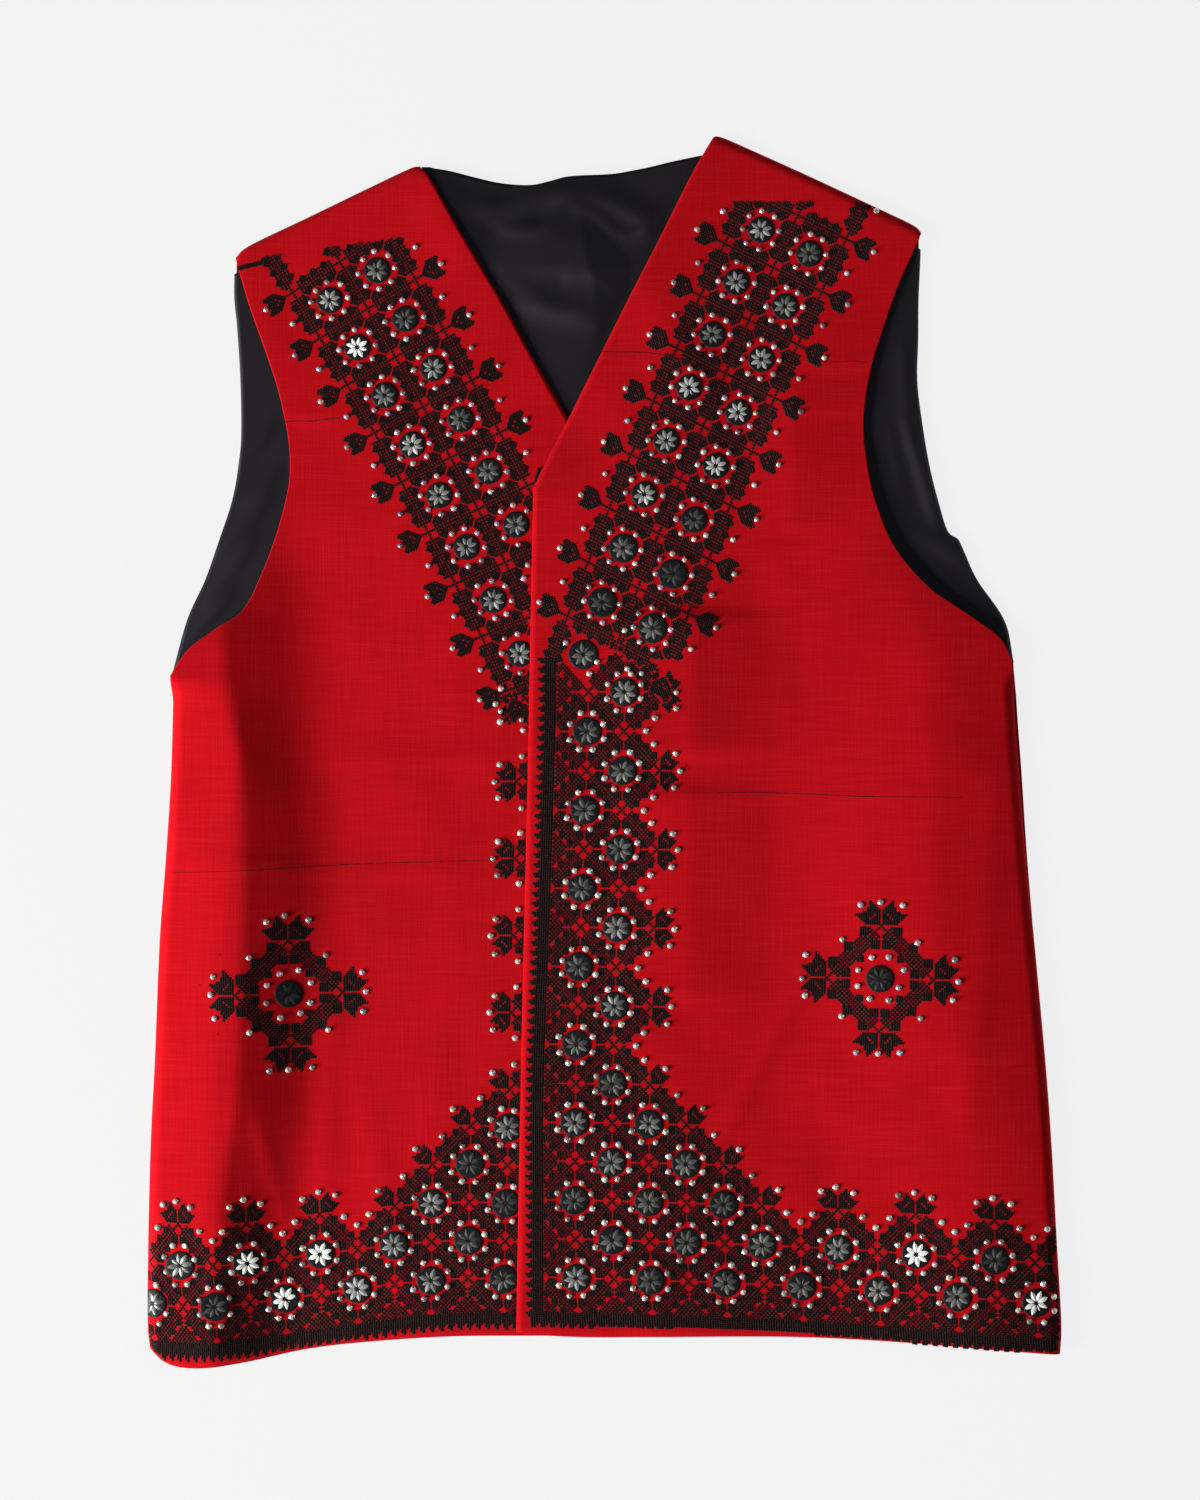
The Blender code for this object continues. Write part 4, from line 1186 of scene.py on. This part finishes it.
def lone_place(px, py, turn):
    c, s = 29.0 * math.cos(turn), 29.0 * math.sin(turn)

    def place(a, b):
        a, b = np.asarray(a, float), np.asarray(b, float)
        return px + c * a - s * b, py + s * a + c * b

    return place


def near_bits(x, y, others, reach):
    """Whether any point of others is within reach, found on a coarse grid."""
    if not len(others):
        return np.zeros(len(x), bool)
    cell = {}
    for ox, oy in others:
        cell.setdefault((int(ox // reach), int(oy // reach)), []).append((ox, oy))
    hit = np.zeros(len(x), bool)
    for k, (px, py) in enumerate(zip(x, y)):
        cx, cy = int(px // reach), int(py // reach)
        for dx in (-1, 0, 1):
            for dy in (-1, 0, 1):
                for ox, oy in cell.get((cx + dx, cy + dy), ()):
                    if (px - ox) ** 2 + (py - oy) ** 2 < reach * reach:
                        hit[k] = True
    return hit


discs, stones, stitched = [], [], []


def work(name, chart, place, top, ring, seed, keep=None, kind="", disc=7.9, visible=None):
    """Stitches one chart on the cloth and notes its flowers and stones."""
    i, j, solid = chart.cells()
    x, y, ei, ej = put(place, chart.half, i, j)
    ok = inside(ring, x, y)
    if keep is not None:
        ok &= keep(i, j, x, y)
    i, j, x, y, ei, ej, solid = (v[ok] for v in (i, j, x, y, ei, ej, solid))
    obj = cross_stitches(name, x, y, ei, ej, solid, top, black_thread, seed)
    stitched.append(obj)
    rim = drawn_ring(ring, 1.6)
    fi, fj = (np.array([f[k] for f in chart.flowers], float) for k in (0, 1))
    fx, fy, _, _ = put(place, chart.half, fi, fj)
    good = inside(rim, fx, fy)
    if visible is not None:
        good &= visible(fx, fy, 2.0)
    for px, py in zip(fx[good], fy[good]):
        discs.append((px, py, disc, kind, top))
    si, sj = (np.array([s[k] for s in chart.stones], float) for k in (0, 1))
    sx, sy, _, _ = put(place, chart.half, si, sj)
    good = inside(rim, sx, sy)
    if visible is not None:
        good &= visible(sx, sy, 1.6)
    if keep is not None:
        good &= keep(si, sj, sx, sy, False)
    for px, py in zip(sx[good], sy[good]):
        stones.append((px, py, kind, top))
    return x, y


# ---- the straight borders: solid bands with a saw edge, worked on their own even count
BAND_EDGE = [
    (-314.0, -39.8), (-274.5, -39.8), (-241.5, -39.8), (-208.5, -40.1), (-175.5, -39.6), (-142.5, -38.5),
    (-109.5, -37.1), (-76.5, -36.0), (-43.5, -34.9), (22.6, -33.0), (51.7, -33.0),
]
BAND_WIDE = 6.0


def band_right(y):
    return column(BAND_EDGE, y, 1) + BAND_WIDE


def upright_border(foot, top):
    """Stitches of the band along the over front's edge: where they are and their run."""
    step_y, step_x = 1.337, 1.2
    n = int((top - foot) / step_y)
    r, c = np.meshgrid(np.arange(n), np.arange(-3, 5), indexing="ij")
    saw = (c >= 0) | ((c == -1) & (r % 4 != 3)) | ((c == -2) & (r % 4 < 2)) | ((c == -3) & (r % 4 == 1))
    r, c = r[saw], c[saw]
    y = foot + (r + 0.5) * step_y
    x = column(BAND_EDGE, y, 1) + (c + 0.5) * step_x
    return x, y, np.tile((step_x, 0.0), (len(x), 1)), np.tile((0.0, step_y), (len(x), 1))


def level_border(place, half, a_from, a_to):
    """Stitches of the band along a hem, under the lattice."""
    a = np.arange(a_from, a_to, 1 / 3.87 / 4 * (2 / 2))
    i, j = np.meshgrid(np.arange(len(a)), np.arange(0, 8), indexing="ij")
    saw = (j < 5) | ((j == 5) & (i % 4 != 3)) | ((j == 6) & (i % 4 < 2)) | ((j == 7) & (i % 4 == 1))
    i, j = i[saw], j[saw]
    aa, bb = a[i], (-16.6 - j) / half
    x, y = place(aa, bb)
    h = 0.02
    x1, y1 = place(aa + h, bb)
    x2, y2 = place(aa - h, bb)
    x3, y3 = place(aa, bb + h)
    x4, y4 = place(aa, bb - h)
    width = a[1] - a[0]
    ei = np.stack([x1 - x2, y1 - y2], axis=1) / (2 * h) * width
    ej = np.stack([x3 - x4, y3 - y4], axis=1) / (2 * h) / half
    return x, y, ei, ej


def border(name, parts, top, ring, seed, keep=None):
    x, y, ei, ej = (np.concatenate([p[k] for p in parts]) for k in range(4))
    ok = inside(ring, x, y)
    if keep is not None:
        ok &= keep(x, y)
    obj = cross_stitches(name, x[ok], y[ok], ei[ok], ej[ok], np.ones(ok.sum(), bool), top, black_thread, seed)
    stitched.append(obj)


def over_keep(i, j, x, y, stitches=True):
    """The over front's lattice stops at its straight band, and slants away above."""
    ok = (x > band_right(y) + (0.4 if stitches else 0.0)) & (j >= -16)
    ok &= ~((i < 0) & (j > 270) & (i + j > 270))
    if stitches:
        ok &= ~near_bits(x, y, necks, 1.5)
    return ok


def under_keep(i, j, x, y, stitches=True):
    return clear_of_over(x, y, -9.0 if stitches else 1.5) & (j < 90) & (j >= -16)


def under_band_keep(i, j, x, y, stitches=True):
    ok = clear_of_over(x, y, -9.0 if stitches else 1.5) & (j >= 90)
    if stitches:
        ok &= ~near_bits(x, y, under_necks, 1.5)
    return ok


def under_neck_keep(i, j, x, y, stitches=True):
    ok = clear_of_over(x, y, -9.0 if stitches else 1.5)
    return ok & (y < 275.5 + 0.139 * (x + 156.5) + (0.0 if stitches else 2.5))


def over_neck_keep(i, j, x, y, stitches=True):
    return (y < 301.4) & ~((y < 50.0) & (x + 0.9 * y > 70.0))


def outside_over(x, y, by):
    return clear_of_over(x, y, by)


BORDER_FOOT = -314.0
xs, ys = work("stitches_neck_left", neck_left, neck_left_place, left_front_top, free_left, 11, kind="neck",
              keep=over_neck_keep, disc=7.25)
necks = list(zip(xs, ys))
xs, ys = work("stitches_neck_right", neck_right, neck_right_place, right_front_top, free_right, 12, kind="neck",
              keep=under_neck_keep, visible=outside_over, disc=7.25)
under_necks = list(zip(xs, ys))
work("stitches_centre_and_hem_left", over, over_place, left_front_top, free_left, 13, keep=over_keep, kind="hem")
work("stitches_hem_right", under, under_place, right_front_top, free_right, 14, keep=under_keep, kind="hem",
     visible=outside_over)
work("stitches_centre_right", under_band, under_band_place, right_front_top, free_right, 15, keep=under_band_keep,
     kind="hem", visible=outside_over)
for side, (px, py, turn), top, ring in (
    ("right", (-172.98, -133.1, 0.02), right_front_top, free_right),
    ("left", (150.7, -124.85, -0.02), left_front_top, free_left),
):
    work("stitches_lone_" + side, lone, lone_place(px, py, turn), top, ring, 16, kind="lone", disc=7.6,
         keep=lambda i, j, x, y, stitches=True: np.ones(len(x), bool))
t = np.linspace(0, 1, 15)
tail_x, tail_y = -184.6 - 15.9 * t, 269.4 - 3.9 * t
tail = [(tail_x, tail_y - row * 1.15) for row in (0, 1)] + [(tail_x[:4], tail_y[:4] + 1.15)]
border("stitches_tail_right", [
    (x, y, np.tile((1.15, -0.28), (len(x), 1)), np.tile((0.28, 1.15), (len(x), 1))) for x, y in tail
], right_front_top, ring_right, 19)
border("border_left", [upright_border(-310.2, 51.2), level_border(over_place, HALF, -1.25, 14.6)], left_front_top,
       drawn_ring(ring_left, 2.3), 17, keep=lambda x, y: x > column(BAND_EDGE, y, 1) - 3.7)
border("border_right", [level_border(under_place, HALF, -12.6, 1.6)], right_front_top, free_right, 18,
       keep=lambda x, y: clear_of_over(x, y, -9.0))


# ---------------------------------------------------------------- discs, petals and stones
LAST = (-11.7, 52.8)  # the last flower of the over front's neck band, which has no leaves
DULL = [(9.1, 110.0), (-1.5, 81.2), (25.0, 64.7), (49.8, 127.0), (38.4, 97.7), LAST]  # flowers darker than the rest
PAINTED_GLINTS = [  # across, up of flowers whose petals get a painted glint, and how strongly
    (-136.1, 222.2, 1.0), (-194.4, -281.0, 1.0), (-175.2, -300.3, 1.0), (-156.5, -275.6, 0.95), (-135.6, -294.8, 0.45),
    (170.2, -276.7, 1.0), (236.2, -302.5, 1.0), (46.5, 198.6, 0.55), (74.0, 186.5, 0.5), (61.3, 156.8, 0.62),
    (33.3, 171.1, 0.35), (22.8, 139.7, 0.3),
]
rng = np.random.default_rng(5)


def dome(x, y, radius, top):
    """A low round ground with a stitched-looking rim; returns points, quads and tones, the tones lighter on the rim's
    raised beads and its outer ring as a painted highlight.
    """
    n = 40
    t = 2 * math.pi * np.arange(n) / n
    rings = [(1.0, 0.05), (0.985, 0.42), (0.93, 0.68), (0.84, 0.74), (0.6, 0.80), (0.25, 0.86)]
    pts, tone = [], []
    for k, (share, height) in enumerate(rings):
        wave = 0.07 * np.cos(t * n / 2) if 0 < k < 4 else 0 * t
        px, py = x + radius * share * np.cos(t), y + radius * share * np.sin(t)
        pts.append(np.stack([px, py, height + wave], axis=1))
        # painted highlight: the tone follows the beads' height and is raised on the outer ring of the rim
        tone.append(np.clip(0.25 + 3.0 * wave + 0.25 * (k == 1), 0, 1))
    pts.append(np.array([[x, y, 0.88]]))
    tone.append(np.array([0.2]))
    pts = np.vstack(pts)
    at_edge = x - edge_x(SIDE_RIGHT, y) < radius
    if at_edge:
        pts[:, 0] = np.maximum(pts[:, 0], edge_x(SIDE_RIGHT, pts[:, 1]) + 0.35)
    z, gx, gy, normal = frame_of(top, np.array([x]), np.array([y]))
    flat = z[0] + gx[0] * (pts[:, 0] - x) + gy[0] * (pts[:, 1] - y)
    real = top(pts[:, 0], pts[:, 1])
    pts[:, 2] += np.where(at_edge, real, np.maximum(flat, real))
    i, j = np.arange(n), (np.arange(n) + 1) % n
    quads = np.vstack([np.stack([r * n + i, r * n + j, (r + 1) * n + j, (r + 1) * n + i], axis=1) for r in range(5)])
    tris = np.stack([5 * n + i, 5 * n + j, np.full(n, 6 * n)], axis=1)
    return pts, quads, tris, np.concatenate(tone), (z[0], gx[0], gy[0], normal[0])


def gather(parts):
    """Joins (points, quads, tris, values...) into one set."""
    pts, quads, tris, values, base = [], [], [], [], 0
    for p, q, t, *rest in parts:
        pts.append(p)
        quads.append(np.asarray(q, int).reshape(-1, 4) + base)
        tris.append(np.asarray(t, int).reshape(-1, 3) + base)
        values.append(rest)
        base += len(p)
    return np.vstack(pts), np.vstack(quads), np.vstack(tris), [np.concatenate(v) for v in zip(*values)]


def petal(length, width):
    """A marquise with a ridge along it, its base at 0; points and triangles."""
    t = np.linspace(0, 1, 9)
    half = 0.5 * width * np.sin(math.pi * t**0.92) ** 0.85
    left = np.stack([t * length, half, np.zeros(9)], axis=1)
    right = np.stack([t * length, -half, np.zeros(9)], axis=1)[1:-1]
    ridge = np.stack([t[1:-1] * length, 0 * t[1:-1], 0.30 * np.sin(math.pi * t[1:-1])], axis=1)
    pts = np.vstack([left, right, ridge])
    tris = []
    for k in range(8):
        la, lb = k, k + 1
        ra = 0 if k == 0 else 8 + k
        rb = 8 if k == 7 else 9 + k
        ma = None if k == 0 else 15 + k
        mb = None if k == 7 else 16 + k
        if ma is None:
            tris += [(la, mb, lb), (ra, rb, mb)]
        elif mb is None:
            tris += [(la, ma, lb), (ra, rb, ma)]
        else:
            tris += [(la, ma, lb), (ma, mb, lb), (ra, rb, ma), (rb, mb, ma)]
    return pts, np.array(tris)


def cut_stone(radius, height):
    """A round faceted stone: girdle, two rows of crown facets and a table."""
    n = 8
    t = 2 * math.pi * np.arange(n) / n
    rows = [(1.0, 0.0, 0.0), (1.0, 0.28, 0.0), (0.78, 0.62, 0.5), (0.45, 0.92, 0.0)]
    pts = [
        np.stack([radius * s * np.cos(t + math.pi / n * 2 * k), radius * s * np.sin(t + math.pi / n * 2 * k), np.full(n, height * h)], axis=1)
        for s, h, k in rows
    ]
    pts = np.vstack(pts + [np.array([[0, 0, height * 1.0]])])
    i, j = np.arange(n), (np.arange(n) + 1) % n
    quads = np.stack([i, j, n + j, n + i], axis=1)
    tris = np.vstack([
        np.stack([n + i, n + j, 2 * n + i], axis=1),
        np.stack([n + j, 2 * n + j, 2 * n + i], axis=1),
        np.stack([2 * n + i, 2 * n + j, 3 * n + j], axis=1),
        np.stack([2 * n + i, 3 * n + j, 3 * n + i], axis=1),
        np.stack([3 * n + i, 3 * n + j, np.full(n, 4 * n)], axis=1),
    ])
    return pts, quads, tris


def sorted_stones(stones, discs):
    """Leaves out a stone that would lie on another or on a disc."""
    kept = []
    for px, py, kind, top in stones:
        if any((px - qx) ** 2 + (py - qy) ** 2 < 9.0 and top is qt for qx, qy, _, qt in kept):
            continue
        if any(math.hypot(px - dx, py - dy) < (9.6 if dk == "lone" else 8.3) and top is dt for dx, dy, _, dk, dt in discs):
            continue
        kept.append((px, py, kind, top))
    return kept


discs = [
    (x, y, r + 0.9 * step((124.0 - y) / 16.0) if kind == "neck" and top is left_front_top else r, kind, top)
    for x, y, r, kind, top in discs
]
discs.append((*LAST, 8.15, "neck", left_front_top))
stones = [s for s in stones if s[3] is right_front_top or math.hypot(s[0] - LAST[0], s[1] - LAST[1]) > 13.5]
stones += [(x, y, "neck", left_front_top) for x, y in ((-21.6, 59.0), (-4.0, 48.7), (-8.1, 42.6))]
stones.append((149.2, 296.5, "neck", left_front_top))
# none where two bands meet
stones = [s for s in stones if not any(
    math.hypot(s[0] - x, s[1] - y) < 2.0 for x, y in ((26.9, 48.8), (29.0, 27.5), (2.7, 63.4), (40.4, 41.8))
)]
stones = sorted_stones(stones, discs)
disc_parts, petal_parts = {"right": [], "left": []}, {"right": [], "left": []}
petal_shape, petal_tris = petal(5.5, 2.5)
for px, py, radius, kind, top in discs:
    side = "right" if top is right_front_top else "left"
    pts, quads, tris, tone, (z, gx, gy, normal) = dome(px, py, radius, top)
    disc_parts[side].append((pts, quads, tris, tone))
    # painted glint: petals of the flowers in the table are lightened and made less metallic
    glare = max([g for bx, by, g in PAINTED_GLINTS if (bx - px) ** 2 + (by - py) ** 2 < 64] + [0.0])
    level = {"neck": 0.27, "hem": 0.135, "lone": 0.05}[kind] * 1.9 ** rng.uniform(-1.0, 1.0)
    if kind == "hem" and rng.random() < 0.12 or any(math.hypot(bx - px, by - py) < 6 for bx, by in DULL):
        level *= 0.35
    spin = rng.uniform(-0.2, 0.2)
    size = rng.uniform(0.96, 1.04) * radius / (7.8 if kind == "neck" else 7.4)
    for k in range(8):
        a = math.radians(45 * k + 20) + spin + rng.normal(0, 0.03)
        p = petal_shape * size
        p = p + (1.05, 0, 0)
        c, s = math.cos(a), math.sin(a)
        ox, oy = p[:, 0] * c - p[:, 1] * s, p[:, 0] * s + p[:, 1] * c
        tip = rng.normal(0, 0.03, 2)
        zz = z + gx * ox + gy * oy + 0.93 - 0.012 * (ox**2 + oy**2) * 0.3 + p[:, 2] + tip[0] * ox + tip[1] * oy
        pts = np.stack([px + ox, py + oy, zz], axis=1)
        if px - edge_x(SIDE_RIGHT, py) < radius:
            pts[:, 0] = np.maximum(pts[:, 0], edge_x(SIDE_RIGHT, pts[:, 1]) + 0.5)
            pts[:, 2] = top(pts[:, 0], pts[:, 1]) + 0.95 + p[:, 2]
        # painted light: petals pointing down and to the left, toward the key light, are painted a quarter lighter; the
        # glare then paints glints on top
        petal_tone_with_painted_light = np.clip(level * rng.uniform(0.6, 1.4) * (1.25 if math.cos(a - 4.4) > 0.5 else 1.0), 0.01, 1)
        petal_tone_with_painted_light = max(petal_tone_with_painted_light, glare * 0.95)
        petal_parts[side].append((pts, [], petal_tris, np.full(len(pts), petal_tone_with_painted_light), np.full(len(pts), glare)))

made = []
for side in ("right", "left"):
    pts, quads, tris, (tone,) = gather(disc_parts[side])
    obj = mesh_from("discs_" + side, pts, quads, tris)
    paint(obj, "tone", tone)
    obj.data.materials.append(ground)
    made.append(obj)
    pts, quads, tris, (tone, glare) = gather(petal_parts[side])
    obj = mesh_from("petals_" + side, pts, quads, tris, smooth_shade=False)
    paint(obj, "tone", tone)
    paint(obj, "glare", glare)
    obj.data.materials.append(metal)
    made.append(obj)

stone_parts = {"right": [], "left": []}
for px, py, kind, top in stones:
    side = "right" if top is right_front_top else "left"
    loose = 0.6 if kind == "lone" else 0.28
    px, py = px + rng.normal(0, loose), py + rng.normal(0, loose)
    radius = rng.uniform(1.58, 1.84) * (0.9 if kind == "neck" else 1.0)
    p, quads, tris = cut_stone(radius, 1.15)
    a = rng.uniform(0, math.pi)
    lean_x, lean_y = rng.normal(0, 0.09, 2)
    ox, oy = p[:, 0] * math.cos(a) - p[:, 1] * math.sin(a), p[:, 0] * math.sin(a) + p[:, 1] * math.cos(a)
    z, gx, gy, _ = frame_of(top, np.array([px]), np.array([py]))
    zz = z[0] + (gx[0] + lean_x) * ox + (gy[0] + lean_y) * oy + p[:, 2] + 0.22
    pts = np.stack([px + ox, py + oy, zz], axis=1)
    hue, tone = rng.random(), rng.random() ** 2.2
    if kind == "neck" and side == "right":
        hue = 0.5 + 0.45 * hue
    elif kind == "hem":
        hue = 0.05 + 0.55 * hue
    stone_parts[side].append((pts, quads, tris, np.full(len(pts), hue), np.full(len(pts), tone)))
for side in ("right", "left"):
    pts, quads, tris, (hue, tone) = gather(stone_parts[side])
    obj = mesh_from("stones_" + side, pts, quads, tris, smooth_shade=False)
    paint(obj, "hue", hue)
    paint(obj, "tone", tone)
    obj.data.materials.append(glass)
    made.append(obj)

# stray threads, flecks, and dark strips of painted shade along the creases, on the cloth
line_parts = {"right": [], "left": []}
for x1, y1, x2, y2 in PRESSED_LINES:
    side = "right" if x1 < -60 else "left"
    top = right_front_top if side == "right" else left_front_top
    t = np.linspace(0, 1, max(12, int(math.hypot(x2 - x1, y2 - y1) / 2.5)))
    n = len(t)
    cx, cy = x1 + (x2 - x1) * t, y1 + (y2 - y1) * t + 0.35 * np.sin(t * 9 + x1)
    half = 0.26 * np.sin(math.pi * np.clip(t, 0.02, 0.98)) ** 0.3 * (0.75 + 0.5 * rng.random(n))
    z = top(cx, cy)
    pts = np.vstack([np.stack([cx, cy + half, z + 0.03], axis=1), np.stack([cx, cy, z + 0.12], axis=1), np.stack([cx, cy - half, z + 0.03], axis=1)])
    i = np.arange(n - 1)
    quads = np.vstack([np.stack([i + n, i + n + 1, i + 1, i], axis=1), np.stack([i + 2 * n, i + 2 * n + 1, i + n + 1, i + n], axis=1)])
    line_parts[side].append((pts, quads, []))
for cx, cy, radius in FLECKS:
    t = np.linspace(0, 2 * math.pi, 9)[:-1]
    r = radius * 0.62 * (0.7 + 0.6 * rng.random(8))
    x, y = cx + r * np.cos(t), cy + r * np.sin(t)
    pts = np.vstack([np.stack([x, y, right_front_top(x, y) + 0.03], axis=1),
                     [[cx, cy, right_front_top(np.array([cx]), np.array([cy]))[0] + 0.15]]])
    i = np.arange(8)
    line_parts["right"].append((pts, [], np.stack([i, (i + 1) % 8, np.full(8, 8)], axis=1)))
for side in ("right", "left"):
    pts, quads, tris, _ = gather(line_parts[side])
    obj = mesh_from("lint_" + side, pts, quads, tris)
    obj.data.materials.append(fibre_and_crease_shade)
    made.append(obj)

# ---------------------------------------------------------------- surface, light and camera
bpy.ops.mesh.primitive_plane_add(size=6.0, location=(0, 0, -0.0004))
floor = bpy.context.object
floor.name = "surface"
floor.data.materials.append(board)

scene = bpy.context.scene
world = bpy.data.worlds.new("pale_room")
scene.world = world
world.use_nodes = True
back_light = world.node_tree.nodes["Background"]
back_light.inputs["Color"].default_value = (1.0, 0.99, 0.98, 1)
back_light.inputs["Strength"].default_value = WORLD


def area_light(name, where, aim, size, power, colour=(1, 1, 1)):
    light = bpy.data.lights.new(name, "AREA")
    light.shape, light.size, light.size_y = "RECTANGLE", size[0], size[1]
    light.energy, light.color = power, colour
    obj = bpy.data.objects.new(name, light)
    obj.location = where
    obj.rotation_euler = (Vector(aim) - Vector(where)).to_track_quat("-Z", "Y").to_euler()
    scene.collection.objects.link(obj)
    return obj


def from_angle(azimuth, elevation, distance):
    a, e = math.radians(azimuth), math.radians(elevation)
    return (distance * math.cos(e) * math.cos(a), distance * math.cos(e) * math.sin(a), distance * math.sin(e))


area_light("key", from_angle(*KEY), (0, 0, 0), KEY_SIZE, KEY_POWER, (1.0, 0.985, 0.965))
area_light("fill", from_angle(*FILL), (0, 0, 0), (1.6, 1.6), FILL_POWER)

camera = bpy.data.cameras.new("camera")
camera.sensor_fit, camera.sensor_width, camera.sensor_height = "VERTICAL", 36.0, 36.0
camera.lens = 87.27
eye = bpy.data.objects.new("camera", camera)
eye.location = (-0.0022, 0.0005, 2.0)
eye.rotation_euler = (0, 0, 0)
scene.collection.objects.link(eye)
scene.camera = eye
scene.view_settings.view_transform = "Standard"

# ---------------------------------------------------------------- each piece rides on the root body, and the CAD part it stands for is hidden
for obj, node, name in (
    (back, "back_panel", "red_back_cloth"), (lining, "back_lining", "black_satin"),
    (front_right, "front_panel_right", "red_front_cloth_right"), (front_left, "front_panel_left", "red_front_cloth_left"),
):
    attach(obj, "root")
    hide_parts(node)
for obj in stitched + made:
    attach(obj, "root")
